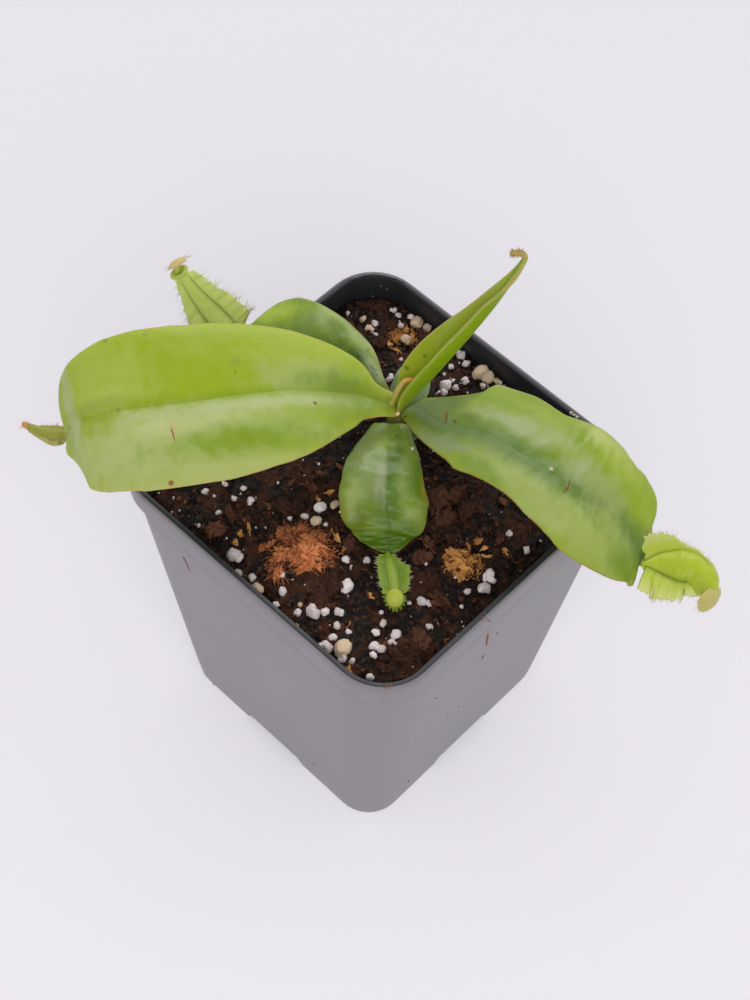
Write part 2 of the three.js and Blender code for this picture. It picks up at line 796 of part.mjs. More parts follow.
// A round body along stations that end with their radius. An open mouth has a cup sunk into the first end.
function roundBody(stations, rings, sides, front, mouthDepth) {
  const frames = framesAlong(stations, rings, front);
  const circle = ({ point, across, up }, radius, inward) =>
    Array.from({ length: sides }, (_, i) => {
      const angle = (2 * Math.PI * i) / sides;
      return point
        .clone()
        .addScaledVector(across, radius * Math.cos(angle))
        .addScaledVector(up, radius * Math.sin(angle))
        .add(inward);
    });
  const none = new THREE.Vector3();
  const skinRings = frames.map((frame) => circle(frame, frame.values[3], none));
  if (mouthDepth > 0) {
    const mouth = frames[0];
    const radius = mouth.values[3];
    const inward = mouth.tangent.clone().multiplyScalar(mouthDepth);
    skinRings.unshift(circle(mouth, CUP.floor * radius, inward), circle(mouth, CUP.rim * radius, none));
  }
  return { frames, geometry: outward(skin(skinRings)) };
}

// One wing: a thin fin from inside the body out to a toothed edge, narrower towards its two ends.
function wing(frames, pitcher, side) {
  const { wingFrom, wingTo, teeth, wingWidth } = pitcher;
  const angle = THREE.MathUtils.degToRad(side * pitcher.wingAngle);
  const used = frames.filter(({ t }) => t >= wingFrom && t <= wingTo);
  const stations = used.map(({ point, values, across, up }) => [
    ...point.toArray(),
    values[3],
    ...across.toArray(),
    ...up.toArray(),
  ]);
  const steps = 2 * teeth;
  const rings = [];
  for (let i = 0; i <= steps; i++) {
    const s = i / steps;
    const values = between(stations, s);
    const point = new THREE.Vector3(...values.slice(0, 3));
    const across = new THREE.Vector3(...values.slice(4, 7));
    const up = new THREE.Vector3(...values.slice(7, 10));
    const out = across.clone().multiplyScalar(Math.cos(angle)).addScaledVector(up, Math.sin(angle));
    const flat = across.clone().multiplyScalar(-Math.sin(angle)).addScaledVector(up, Math.cos(angle));
    const swell = Math.sqrt(Math.sin(Math.PI * (0.08 + 0.84 * s)));
    const reach = values[3] + wingWidth * swell * (i % 2 ? 1 : WING.between);
    const half = WING.thickness / 2;
    const corner = (distance, offset) =>
      point.clone().addScaledVector(out, distance).addScaledVector(flat, offset);
    const root = WING.root * values[3];
    rings.push([corner(root, -half), corner(reach, -half), corner(reach, half), corner(root, half)]);
  }
  return solidOf(outward(skin(rings)));
}

// A flat oval lid, as a thin ellipsoid.
function lidSolid({ centre, length, width, along, normal }) {
  const n = new THREE.Vector3(...normal).normalize();
  const x = new THREE.Vector3(...along);
  x.addScaledVector(n, -x.dot(n)).normalize();
  const y = n.clone().cross(x);
  const geometry = new THREE.SphereGeometry(1, 10, 6);
  geometry.rotateX(Math.PI / 2);
  geometry.scale(length, width, LID_THICKNESS);
  geometry.applyMatrix4(new THREE.Matrix4().makeBasis(x, y, n));
  geometry.translate(...centre);
  return solidOf(geometry);
}

// The rolled lip round an open mouth.
function peristome({ point, across, up, tangent, values }) {
  const geometry = new THREE.TorusGeometry(values[3], PERISTOME, 6, PITCHER_SIDES);
  geometry.applyMatrix4(new THREE.Matrix4().makeBasis(across, tangent.clone().cross(across), tangent));
  geometry.translate(...point.toArray());
  return solidOf(outward(geometry));
}

// The short neck from inside the back of the mouth to the lid.
function lidNeck({ point, across, tangent, values, up }, lid) {
  const start = point.clone().addScaledVector(across, -LID_NECK.behind * values[3]);
  start.addScaledVector(tangent, LID_NECK.into);
  const stations = [
    [...start.toArray(), LID_NECK.radius],
    [...lid.centre, LID_NECK.endRadius],
  ];
  return solidOf(roundBody(stations, 2, 6, up, 0).geometry);
}

function pitcherNode(name, pitcher) {
  const { stations, front, mouthDepth, lid, colour } = pitcher;
  const facing = new THREE.Vector3(...front);
  const { frames, geometry } = roundBody(stations, PITCHER_RINGS, PITCHER_SIDES, facing, mouthDepth);
  const mouth = frames[0];
  const solids = [
    solidOf(geometry),
    wing(frames, pitcher, 1),
    wing(frames, pitcher, -1),
    lidNeck(mouth, lid),
    lidSolid(lid),
  ];
  if (mouthDepth > 0) solids.push(peristome(mouth));
  return node(name, geometryOf(Manifold.union(solids)), colour, 0.55);
}

function bud() {
  const { geometry } = roundBody(BUD.stations, 10, 8, undefined, 0);
  return node("leaf_bud", geometry, BUD.colour, 0.6);
}

const plant = new THREE.Group();
plant.add(pot(), soil(), bark(), stem(), bud());
for (const [name, leaf] of Object.entries(LEAVES)) plant.add(node(name, blade(leaf), leaf.colour, 0.45));
for (const [name, pitcher] of Object.entries(PITCHERS)) plant.add(pitcherNode(name, pitcher));

export default plant;
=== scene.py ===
# A young tropical pitcher plant in a square nursery pot, on a pale studio floor. Everything is in metres, in
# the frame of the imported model: +Z up, the origin in the middle of the pot's underside.
import json
import math
import random

import bmesh
import bpy
import numpy as np
from mathutils import Matrix, Vector, noise
from mathutils.bvhtree import BVHTree

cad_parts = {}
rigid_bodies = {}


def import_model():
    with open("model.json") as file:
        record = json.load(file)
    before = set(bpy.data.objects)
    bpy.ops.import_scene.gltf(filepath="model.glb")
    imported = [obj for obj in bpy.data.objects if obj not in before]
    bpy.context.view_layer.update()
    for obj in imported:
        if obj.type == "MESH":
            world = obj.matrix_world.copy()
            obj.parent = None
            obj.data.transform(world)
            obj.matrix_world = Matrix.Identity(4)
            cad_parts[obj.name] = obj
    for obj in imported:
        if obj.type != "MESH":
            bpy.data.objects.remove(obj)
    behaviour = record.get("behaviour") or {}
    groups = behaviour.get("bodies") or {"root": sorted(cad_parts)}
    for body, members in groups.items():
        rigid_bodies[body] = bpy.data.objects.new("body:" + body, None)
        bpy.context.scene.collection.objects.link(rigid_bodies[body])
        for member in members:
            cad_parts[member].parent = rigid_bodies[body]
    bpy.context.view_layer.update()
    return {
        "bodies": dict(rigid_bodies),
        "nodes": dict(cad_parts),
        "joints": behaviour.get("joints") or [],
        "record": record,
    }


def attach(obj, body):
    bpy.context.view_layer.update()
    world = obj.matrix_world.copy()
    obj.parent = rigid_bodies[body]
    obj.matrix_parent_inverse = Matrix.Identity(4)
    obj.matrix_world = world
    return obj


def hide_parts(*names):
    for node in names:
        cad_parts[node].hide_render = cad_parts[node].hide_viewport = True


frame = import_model()

# ---------------------------------------------------------------- camera
# The camera looks down on the pot's near corner from the photograph's viewing angle: turned about the pot,
# raised above it, and rolled a little about its own line of sight.
EYE = (0.13462, -0.15702, 0.39423)
CAMERA_AZIMUTH = 40.68
CAMERA_ELEVATION = 57.52
CAMERA_ROLL = 3.722
LENS_MM = 68.55
SENSOR_MM = 36

camera_data = bpy.data.cameras.new("camera")
camera_data.lens = LENS_MM
camera_data.sensor_width = SENSOR_MM
camera_data.clip_start = 0.01
camera = bpy.data.objects.new("camera", camera_data)
bpy.context.scene.collection.objects.link(camera)
camera.matrix_world = (
    Matrix.Translation(EYE)
    @ Matrix.Rotation(math.radians(CAMERA_AZIMUTH), 4, "Z")
    @ Matrix.Rotation(math.radians(90 - CAMERA_ELEVATION), 4, "X")
    @ Matrix.Rotation(math.radians(CAMERA_ROLL), 4, "Z")
)
bpy.context.scene.camera = camera

# ---------------------------------------------------------------- studio
# A plain pale floor in a light tent: bright cloth all round and a darker roof. A wide softbox behind and over
# the plant gives the leaves their sheen, and a weak one over the camera fills the front.
FLOOR_SIZE = 12
FLOOR_COLOUR = (0.83, 0.81, 0.845)
TENT_COLOUR = (0.95, 0.935, 0.975)
TENT_STRENGTH = 0.92
ROOF_SHARE = 0.45
ROOF_FROM = 0.3
ROOF_FULL = 0.75
FLOOR_GLOW = 0.29


def new_mesh(name, points, faces):
    """A mesh object in the scene, made from its points and faces."""
    mesh = bpy.data.meshes.new(name)
    mesh.from_pydata([tuple(point) for point in points], [], [tuple(face) for face in faces])
    mesh.validate()
    mesh.shade_smooth()
    made = bpy.data.objects.new(name, mesh)
    bpy.context.scene.collection.objects.link(made)
    return made


def wire(tree, made, inputs):
    """Sets a node's inputs. Each takes a value, three numbers for a colour, or a node and its output."""
    for name, value in inputs.items():
        socket = made.inputs[name]
        if isinstance(value, tuple) and isinstance(value[0], bpy.types.Node):
            tree.links.new(value[0].outputs[value[1]], socket)
        else:
            socket.default_value = (*value, 1) if socket.type == "RGBA" else value


def node(tree, kind, inputs=None, **settings):
    """A new shader node with its inputs and its settings."""
    made = tree.nodes.new("ShaderNode" + kind)
    for name, value in settings.items():
        setattr(made, name, value)
    wire(tree, made, inputs or {})
    return made


def new_material(name, roughness, specular=0.5, inputs=None):
    """A material, its node tree and its surface shader, with more of its inputs where they are given."""
    made = bpy.data.materials.new(name)
    made.use_nodes = True
    shader = made.node_tree.nodes["Principled BSDF"]
    wire(made.node_tree, shader, {"Roughness": roughness, "Specular IOR Level": specular, **(inputs or {})})
    return made, made.node_tree, shader


def softbox(name, azimuth, elevation, distance, width, height, watts):
    """A square light that faces the plant. Azimuth 0 is where +Y points, and it grows towards -X."""
    light = bpy.data.lights.new(name, "AREA")
    light.shape = "RECTANGLE"
    light.size = width
    light.size_y = height
    light.energy = watts
    lamp = bpy.data.objects.new(name, light)
    bpy.context.scene.collection.objects.link(lamp)
    lamp.matrix_world = (
        Matrix.Translation((0, 0, 0.09))
        @ Matrix.Rotation(math.radians(azimuth), 4, "Z")
        @ Matrix.Rotation(math.radians(elevation - 90), 4, "X")
        @ Matrix.Translation((0, 0, distance))
    )
    lamp.visible_camera = False
    return lamp


half_floor = FLOOR_SIZE / 2
floor_corners = [(x * half_floor, y * half_floor, 0) for x, y in ((-1, -1), (1, -1), (1, 1), (-1, 1))]
floor = new_mesh("floor", floor_corners, [(0, 1, 2, 3)])
floor_paper, _, _ = new_material("studio_paper", 0.75, 0.3, {
    "Base Color": FLOOR_COLOUR, "Emission Color": FLOOR_COLOUR, "Emission Strength": FLOOR_GLOW,
})
floor.data.materials.append(floor_paper)

tent = bpy.data.worlds.new("light_tent")
tent.use_nodes = True
way = node(tent.node_tree, "TexCoord")
parts = node(tent.node_tree, "SeparateXYZ", {0: (way, "Generated")})
roof = node(tent.node_tree, "MapRange", {
    "Value": (parts, "Z"), "From Min": ROOF_FROM, "From Max": ROOF_FULL,
    "To Min": TENT_STRENGTH, "To Max": TENT_STRENGTH * ROOF_SHARE,
}, interpolation_type="SMOOTHSTEP")
cloth = tent.node_tree.nodes["Background"]
wire(tent.node_tree, cloth, {"Color": TENT_COLOUR, "Strength": (roof, "Result")})
bpy.context.scene.world = tent
bpy.context.scene.view_settings.view_transform = "Standard"

# The softbox behind lights the plant alone, so that the paper stays as even as in a light tent.
softbox_behind = softbox("softbox_behind", 30, 40, 1.1, 0.9, 0.6, 6)
beside_paper = bpy.data.collections.new("all_but_the_paper")
beside_paper.objects.link(floor)
beside_paper.collection_objects[0].light_linking.link_state = "EXCLUDE"
softbox_behind.light_linking.receiver_collection = beside_paper
softbox("softbox_over_camera", 225, 46, 1.2, 0.9, 0.7, 5)

# ---------------------------------------------------------------- nursery pot
# One injection-moulded pot of thin black polypropylene, tapered to its base. A shallow band runs round its
# rim, and a drainage channel with a round hole crosses the middle of each bottom edge.
POT_HEIGHT = 0.082
RIM_SIDE = 0.076
RIM_RADIUS = 0.011
BAND_HEIGHT = 0.0055
BODY_SIDE = 0.0752
BODY_RADIUS = 0.013
BASE_SIDE = 0.059
BASE_RADIUS = 0.008
POT_WALL = 0.0011
POT_LIP = 0.0017
POT_FLOOR = 0.0012
CHANNEL_WIDTH = 0.018
CHANNEL_ROOF = 0.015
CHANNEL_HEIGHT = 0.0028
CHANNEL_LENGTH = 0.015
DRAIN_RADIUS = 0.003
DRAIN_INSET = 0.010
PLASTIC_BLACK = (0.012, 0.013, 0.016)
# The painted sheen: a pale grey that stands for the floor's reflection on the outer walls.
PLASTIC_PAINTED_SHEEN = (0.248, 0.233, 0.249)


def square_ring(side, radius, z, corner_steps=10, side_steps=8):
    """The points of a square with round corners, at one height."""
    middle = side / 2 - radius
    corners = ((1, 1), (-1, 1), (-1, -1), (1, -1))
    points = []
    for number, (along_x, along_y) in enumerate(corners):
        for step in range(corner_steps + 1):
            angle = math.radians(90 * (number + step / corner_steps))
            x = along_x * middle + radius * math.cos(angle)
            y = along_y * middle + radius * math.sin(angle)
            points.append((x, y, z))
        ahead = math.radians(90 * (number + 1))
        next_x, next_y = corners[(number + 1) % 4]
        x, y, _ = points[-1]
        end_x = next_x * middle + radius * math.cos(ahead)
        end_y = next_y * middle + radius * math.sin(ahead)
        for step in range(1, side_steps):
            share = step / side_steps
            points.append((x + (end_x - x) * share, y + (end_y - y) * share, z))
    return points


def skin_parts(rings):
    """The points and faces of a closed skin over rings of equally many points, with a face over each end."""
    count = len(rings[0])
    points = [Vector(point) for ring in rings for point in ring]
    faces = [tuple(reversed(range(count)))]
    for low in range(0, len(points) - count, count):
        for step in range(count):
            ahead = (step + 1) % count
            faces.append((low + step, low + ahead, low + count + ahead, low + count + step))
    faces.append(tuple(range(len(points) - count, len(points))))
    return points, faces


def lofted(name, rings):
    """A closed skin over rings, as an object."""
    return new_mesh(name, *skin_parts(rings))


def cut(piece, cutter):
    """Takes the cutter's space out of the piece, and removes the cutter."""
    modifier = piece.modifiers.new("cut", "BOOLEAN")
    modifier.operation = "DIFFERENCE"
    modifier.solver = "EXACT"
    modifier.object = cutter
    graph = bpy.context.evaluated_depsgraph_get()
    graph.update()
    carved = bpy.data.meshes.new_from_object(piece.evaluated_get(graph))
    piece.modifiers.clear()
    piece.data = carved
    bpy.data.objects.remove(cutter)


def channel_block(cover, quarter):
    """The space of one drainage channel, thicker by cover on its roof, its sides and its inner end."""
    wide = CHANNEL_WIDTH / 2 + cover
    roof = CHANNEL_ROOF / 2 + cover
    height = CHANNEL_HEIGHT + cover
    profile = [(-wide, -0.001), (wide, -0.001), (wide, 0), (roof, height), (-roof, height), (-wide, 0)]
    outer = BASE_SIDE / 2 + 0.004
    inner = BASE_SIDE / 2 - CHANNEL_LENGTH - cover
    turn = Matrix.Rotation(math.radians(90 * quarter), 3, "Z")
    rings = [[turn @ Vector((x, y, z)) for x, z in profile] for y in (outer, inner)]
    return lofted("channel_block", rings)


def drain_block(quarter):
    """The space of one drain hole."""
    middle = Matrix.Rotation(math.radians(90 * quarter), 3, "Z") @ Vector((0, BASE_SIDE / 2 - DRAIN_INSET, 0))
    rings = []
    for z in (-0.001, CHANNEL_HEIGHT + 2 * POT_FLOOR):
        angles = [math.radians(15 * step) for step in range(24)]
        rings.append([
            (middle.x + DRAIN_RADIUS * math.cos(a), middle.y + DRAIN_RADIUS * math.sin(a), z) for a in angles
        ])
    return lofted("drain_block", rings)


def body_side(z):
    """The pot's outer width and corner radius at a height on its tapered body."""
    share = z / (POT_HEIGHT - BAND_HEIGHT)
    side = BASE_SIDE + (BODY_SIDE - BASE_SIDE) * share
    return side, BASE_RADIUS + (BODY_RADIUS - BASE_RADIUS) * share


band_foot = POT_HEIGHT - BAND_HEIGHT
foot_round = 0.0007
outer_rings = [square_ring(BASE_SIDE - 2 * foot_round, BASE_RADIUS - foot_round, 0)]
for angle in (30, 60, 90):
    inset = foot_round * (1 - math.sin(math.radians(angle)))
    height = foot_round * (1 - math.cos(math.radians(angle)))
    outer_rings.append(square_ring(BASE_SIDE - 2 * inset, BASE_RADIUS - inset, height))
for step in range(1, 12):
    height = foot_round + (band_foot - foot_round) * step / 12
    outer_rings.append(square_ring(*body_side(height), height))
outer_rings += [
    square_ring(BODY_SIDE, BODY_RADIUS, band_foot - 0.0004),
    square_ring(BODY_SIDE - 0.0001, BODY_RADIUS, band_foot - 0.0001),
    square_ring(RIM_SIDE - 0.0003, RIM_RADIUS, band_foot + 0.0001),
    square_ring(RIM_SIDE, RIM_RADIUS, band_foot + 0.0004),
    square_ring(RIM_SIDE, RIM_RADIUS, POT_HEIGHT - 0.002),
]
lip_round = 0.0006
for angle in (0, 22, 45, 67, 90):
    inset = lip_round * (1 - math.cos(math.radians(angle)))
    height = POT_HEIGHT - lip_round * (1 - math.sin(math.radians(angle)))
    outer_rings.append(square_ring(RIM_SIDE - 2 * inset, RIM_RADIUS - inset, height))
nursery_pot = lofted("nursery_pot", outer_rings)

inner_floor_side, inner_floor_radius = body_side(POT_FLOOR)
lip_inner_side = RIM_SIDE - 2 * POT_LIP
lip_inner_radius = RIM_RADIUS - POT_LIP
hollow = lofted("pot_hollow", [
    square_ring(inner_floor_side - 2 * POT_WALL, inner_floor_radius - POT_WALL, POT_FLOOR),
    square_ring(BODY_SIDE - 2 * POT_WALL, BODY_RADIUS - POT_WALL, band_foot - 0.001),
    square_ring(lip_inner_side, lip_inner_radius, band_foot + 0.001),
    square_ring(lip_inner_side, lip_inner_radius, POT_HEIGHT - 0.0005),
    square_ring(lip_inner_side + 0.0003, lip_inner_radius, POT_HEIGHT - 0.00015),
    square_ring(lip_inner_side + 0.0010, lip_inner_radius, POT_HEIGHT + 0.00005),
    square_ring(lip_inner_side + 0.0014, lip_inner_radius, POT_HEIGHT + 0.001),
])
for quarter in range(4):
    cut(hollow, channel_block(POT_FLOOR, quarter))
cut(nursery_pot, hollow)
for quarter in range(4):
    cut(nursery_pot, channel_block(0, quarter))
    cut(nursery_pot, drain_block(quarter))


def new_group(name, inputs, outputs):
    """An empty shader node group with named inputs, their values and outputs, and its two end nodes."""
    group = bpy.data.node_groups.new(name, "ShaderNodeTree")
    for label, value in inputs.items():
        kind = "NodeSocketVector" if isinstance(value, tuple) else "NodeSocketFloat"
        group.interface.new_socket(label, in_out="INPUT", socket_type=kind).default_value = value
    for label in outputs:
        kind = "NodeSocketVector" if label == "Normal" else "NodeSocketFloat"
        group.interface.new_socket(label, in_out="OUTPUT", socket_type=kind)
    return group, group.nodes.new("NodeGroupInput"), group.nodes.new("NodeGroupOutput")


def use_group(tree, group, **inputs):
    """A group placed in a material, with its own values and links."""
    made = node(tree, "Group", node_tree=group)
    wire(tree, made, inputs)
    return made


def ramp_of(tree, source, low, high, at_low=0.0, at_high=1.0, kind="SMOOTHSTEP"):
    """A number that runs from at_low to at_high as the source goes from low to high."""
    made = node(tree, "MapRange", {
        "Value": source, "From Min": low, "From Max": high, "To Min": at_low, "To Max": at_high,
    }, interpolation_type=kind)
    return made, "Result"


def calculated(tree, operation, first, second):
    """The result of one sum on two numbers or links."""
    return node(tree, "Math", {0: first, 1: second}, operation=operation), 0


def vector_sum(tree, operation, first, second=(0, 0, 0), output="Vector"):
    """The result of one sum on two vectors or links."""
    return node(tree, "VectorMath", {0: first, 1: second}, operation=operation), output


def stored(tree, name, output="Fac"):
    """The number or the vector that the points of the piece hold under a name."""
    return node(tree, "Attribute", attribute_name=name), output


def two_tone(tree, mask, first, second):
    """A colour that runs from the first to the second as far as the mask says."""
    return node(tree, "Mix", {"Factor": mask, "A": first, "B": second}, data_type="RGBA"), "Result"


# Patches: a mask of soft or hard spots, by size, share of the surface covered, and softness.
PATCH_LEVEL = 0.68
PATCH_SPREAD = 0.36
patches, patch_in, patch_out = new_group(
    "patches", {"Size": 0.01, "Cover": 0.3, "Softness": 0.1, "Shift": 0.0}, ["Mask"]
)
place = node(patches, "TexCoord")
spots = node(patches, "TexNoise", {
    "Vector": (place, "Object"), "W": (patch_in, "Shift"), "Detail": 3.0,
    "Scale": calculated(patches, "DIVIDE", 1, (patch_in, "Size")),
}, noise_dimensions="4D")
reach = calculated(patches, "MULTIPLY", (patch_in, "Cover"), PATCH_SPREAD)
level = calculated(patches, "SUBTRACT", PATCH_LEVEL, reach)
top = calculated(patches, "ADD", level, (patch_in, "Softness"))
wire(patches, patch_out, {"Mask": ramp_of(patches, (spots, 0), level, top)})


def patch_mask(tree, size, cover, softness, shift=0.0):
    """A mask of patches, placed in a material."""
    return use_group(tree, patches, Size=size, Cover=cover, Softness=softness, Shift=shift), "Mask"



# Grain: a fine unevenness, as a value and as a bumped normal, by size and depth in metres.
grain, grain_in, grain_out = new_group(
    "grain", {"Size": 0.001, "Depth": 0.0001, "Roundness": 0.5}, ["Value", "Normal"]
)
place = node(grain, "TexCoord")
fine = node(grain, "TexNoise", {
    "Vector": (place, "Object"), "Detail": 5.0, "Roughness": (grain_in, "Roundness"),
    "Scale": calculated(grain, "DIVIDE", 1, (grain_in, "Size")),
})
bump = node(grain, "Bump", {"Strength": 1.0, "Distance": (grain_in, "Depth"), "Height": (fine, 0)})
wire(grain, grain_out, {"Value": (fine, 0), "Normal": (bump, "Normal")})

# The outer walls carry a painted sheen, a pale grey for the bright floor's reflection, varied by a few wipe
# marks.
# The inside keeps the plastic's own clean dark colour.
pot_plastic, tree, shader = new_material("black_polypropylene", 0.45, 0.6, {
    "Sheen Weight": 0.08, "Sheen Roughness": 0.45,
})
shape = node(tree, "NewGeometry")
flat_place = vector_sum(tree, "MULTIPLY", (shape, "Position"), (1, 1, 0))
facing = vector_sum(tree, "DOT_PRODUCT", flat_place, (shape, "Normal"), "Value")
outside = ramp_of(tree, facing, 0.004, 0.012, kind="LINEAR")
marks = patch_mask(tree, 0.018, 0.55, 0.30)
painted_light = ramp_of(tree, marks, 0, 1, 0.80, 1.0, "LINEAR")
skin = use_group(tree, grain, Size=0.0009, Depth=0.00002, Roundness=0.6)
wire(tree, shader, {
    "Base Color": two_tone(tree, calculated(tree, "MULTIPLY", outside, painted_light), PLASTIC_BLACK, PLASTIC_PAINTED_SHEEN),
    "Roughness": ramp_of(tree, marks, 0, 1, 0.5, 0.62, "LINEAR"),
    "Normal": (skin, "Normal"),
})
nursery_pot.data.materials.clear()
nursery_pot.data.materials.append(pot_plastic)
nursery_pot.data.shade_smooth()
nursery_pot.modifiers.new("keep_edges", "EDGE_SPLIT").split_angle = math.radians(35)
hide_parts("pot")
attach(nursery_pot, "root")

# ---------------------------------------------------------------- potting mix
# Moist peat with bark fibre, crumbs, white perlite and tan pumice. It fills the pot from its floor to a few
# millimetres under the lip, and holds together as one body. Fine crumbs and fibres lie loose on its surface.
SOIL_SURFACE = 0.0762
SOIL_MOUND = 0.0011
MOUND_REACH = 0.022
EDGE_DIP = 0.0009
EDGE_REACH = 0.003
SOIL_GAP = 0.0003
SOIL_BOTTOM = 0.0046
SURFACE_STEPS = 150
STEM_X = -0.005
STEM_Y = 0.010
STEM_HOLE = 0.0024
STEM_HOLE_DEPTH = 0.0015
CLOD_HEIGHT = 0.0007
LUMP_HEIGHT = 0.00055
PIT_DEPTH = 0.0009
PEAT_DARK = (0.0050, 0.0026, 0.0020)
PEAT_BROWN = (0.066, 0.025, 0.013)
PEAT_RUST = (0.120, 0.047, 0.022)
# Each tuft of moss raises the soil: its middle, its height and its reach.
TUFTS = [
    (0.0013, -0.023, 0.0018, 0.0055),
    (0.025, -0.002, 0.0016, 0.0038),
    (-0.0015, -0.009, 0.0012, 0.005),
]


def soil_height(x, y):
    """Height of the bare soil at a place."""
    from_wall = BODY_SIDE / 2 - max(abs(x), abs(y))
    z = SOIL_SURFACE + SOIL_MOUND * math.exp(-((math.hypot(x, y) / MOUND_REACH) ** 2))
    for tuft_x, tuft_y, height, reach in TUFTS:
        z += height * math.exp(-((math.hypot(x - tuft_x, y - tuft_y) / reach) ** 2))
    z -= EDGE_DIP * math.exp(-from_wall / EDGE_REACH)
    clods = noise.fractal(Vector((x, y, 0.3)) * 130, 1.0, 2.0, 3)
    lumps = noise.fractal(Vector((x, y, 0.9)) * 620, 0.8, 2.1, 4)
    pits = noise.noise(Vector((x, y, 2.7)) * 340)
    return z + CLOD_HEIGHT * clods + LUMP_HEIGHT * lumps - PIT_DEPTH * max(0, pits - 0.25)


def soil_half(angle, side, radius):
    """How far the soil's outline lies from the middle in one direction."""
    half = side / 2
    corner = half - radius
    x, y = abs(math.cos(angle)), abs(math.sin(angle))
    straight = half / max(x, y)
    if min(x, y) * straight <= corner:
        return straight
    along = corner * (x + y)
    return along + math.sqrt(max(0, along * along - 2 * corner * corner + radius * radius))


top_side, top_radius = body_side(SOIL_SURFACE)
soil_side = top_side - 2 * (POT_WALL + SOIL_GAP)
soil_corner = top_radius - POT_WALL - SOIL_GAP
points = []
for row in range(SURFACE_STEPS + 1):
    for column in range(SURFACE_STEPS + 1):
        a = 2 * column / SURFACE_STEPS - 1
        b = 2 * row / SURFACE_STEPS - 1
        ring = max(abs(a), abs(b))
        angle = math.atan2(b, a)
        away = ring * soil_half(angle, soil_side, soil_corner)
        x, y = away * math.cos(angle), away * math.sin(angle)
        hole = math.exp(-((math.hypot(x - STEM_X, y - STEM_Y) / STEM_HOLE) ** 4))
        points.append((x, y, soil_height(x, y) - STEM_HOLE_DEPTH * hole))
wide = SURFACE_STEPS + 1
faces = []
for row in range(SURFACE_STEPS):
    for column in range(SURFACE_STEPS):
        first = row * wide + column
        faces.append((first, first + 1, first + wide + 1, first + wide))
border = list(range(wide))
border += [row * wide + SURFACE_STEPS for row in range(1, wide)]
border += [SURFACE_STEPS * wide + column for column in range(SURFACE_STEPS - 1, -1, -1)]
border += [row * wide for row in range(SURFACE_STEPS - 1, 0, -1)]
above = border
for height in (0.070, 0.040, SOIL_BOTTOM):
    side, radius = body_side(height)
    first = len(points)
    for number in border:
        angle = math.atan2(points[number][1], points[number][0])
        away = soil_half(angle, side - 2 * (POT_WALL + SOIL_GAP), radius - POT_WALL - SOIL_GAP)
        points.append((away * math.cos(angle), away * math.sin(angle), height))
    below = list(range(first, len(points)))
    for step in range(len(border)):
        ahead = (step + 1) % len(border)
        faces.append((above[ahead], above[step], below[step], below[ahead]))
    above = below
faces.append(tuple(reversed(above)))
potting_mix = new_mesh("potting_mix", points, faces)

# Dark wet peat with brown clods and rusty bark dust, and a wet sheen in the hollows.
peat, tree, shader = new_material("wet_peat", 0.9, 0.28)
clods = patch_mask(tree, 0.0042, 0.62, 0.16, 3.0)
dust = patch_mask(tree, 0.0011, 0.38, 0.08, 7.0)
crumb = use_group(tree, grain, Size=0.0007, Depth=0.00045, Roundness=0.75)
brown = two_tone(tree, clods, PEAT_DARK, PEAT_BROWN)
wire(tree, shader, {
    "Base Color": two_tone(tree, calculated(tree, "MULTIPLY", dust, 0.55), brown, PEAT_RUST),
    "Roughness": ramp_of(tree, clods, 0, 1, 0.42, 0.95, "LINEAR"),
    "Normal": (crumb, "Normal"),
})
potting_mix.data.materials.append(peat)
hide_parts("soil")
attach(potting_mix, "root")


def store(piece, name, values):
    """Stores one number or one vector per point, which a material reads as the attribute of that name."""
    values = np.asarray(values, dtype=np.float32)
    kind, field = ("FLOAT", "value") if values.ndim == 1 else ("FLOAT_VECTOR", "vector")
    piece.data.attributes.new(name, kind, "POINT").data.foreach_set(field, values.ravel())


def ball_shape(detail):
    """Points and faces of a ball of radius 1."""
    ball = bmesh.new()
    bmesh.ops.create_icosphere(ball, subdivisions=detail, radius=1)
    points = np.array([vertex.co[:] for vertex in ball.verts])
    faces = np.array([[vertex.index for vertex in face.verts] for face in ball.faces])
    ball.free()
    return points, faces


def random_turn(rng):
    """A turn in any direction."""
    turn = Matrix.Rotation(rng.uniform(0, 2 * math.pi), 3, "Z")
    turn = Matrix.Rotation(rng.uniform(0, 2 * math.pi), 3, "X") @ turn
    return np.array(Matrix.Rotation(rng.uniform(0, 2 * math.pi), 3, "Y") @ turn)


def lumps_piece(name, lumps, detail, uneven, rng, facets=0, scale=1.3):
    """Many uneven lumps in one piece. A lump is its middle, its three half sizes and its tone."""
    ball, ball_faces = ball_shape(detail)
    points = []
    faces = []
    tones = []
    for middle, sizes, tone in lumps:
        shift = Vector((rng.uniform(0, 50), rng.uniform(0, 50), rng.uniform(0, 50)))
        swell = [1 + uneven * noise.fractal(Vector(point) * scale + shift, 0.7, 2.2, 3) for point in ball]
        for _ in range(facets):
            way = np.array([rng.gauss(0, 1) for _ in range(3)])
            flat = rng.uniform(0.62, 0.92) / np.maximum(ball @ (way / np.linalg.norm(way)), 0.01)
            swell = np.minimum(swell, flat)
        shape = ball * np.array(swell)[:, None] * np.array(sizes)
        faces.append(ball_faces + sum(len(block) for block in points))
        points.append(shape @ random_turn(rng) + np.array(middle))
        tones += [tone] * len(ball)
    piece = new_mesh(name, np.concatenate(points), np.concatenate(faces))
    store(piece, "tone", tones)
    return piece


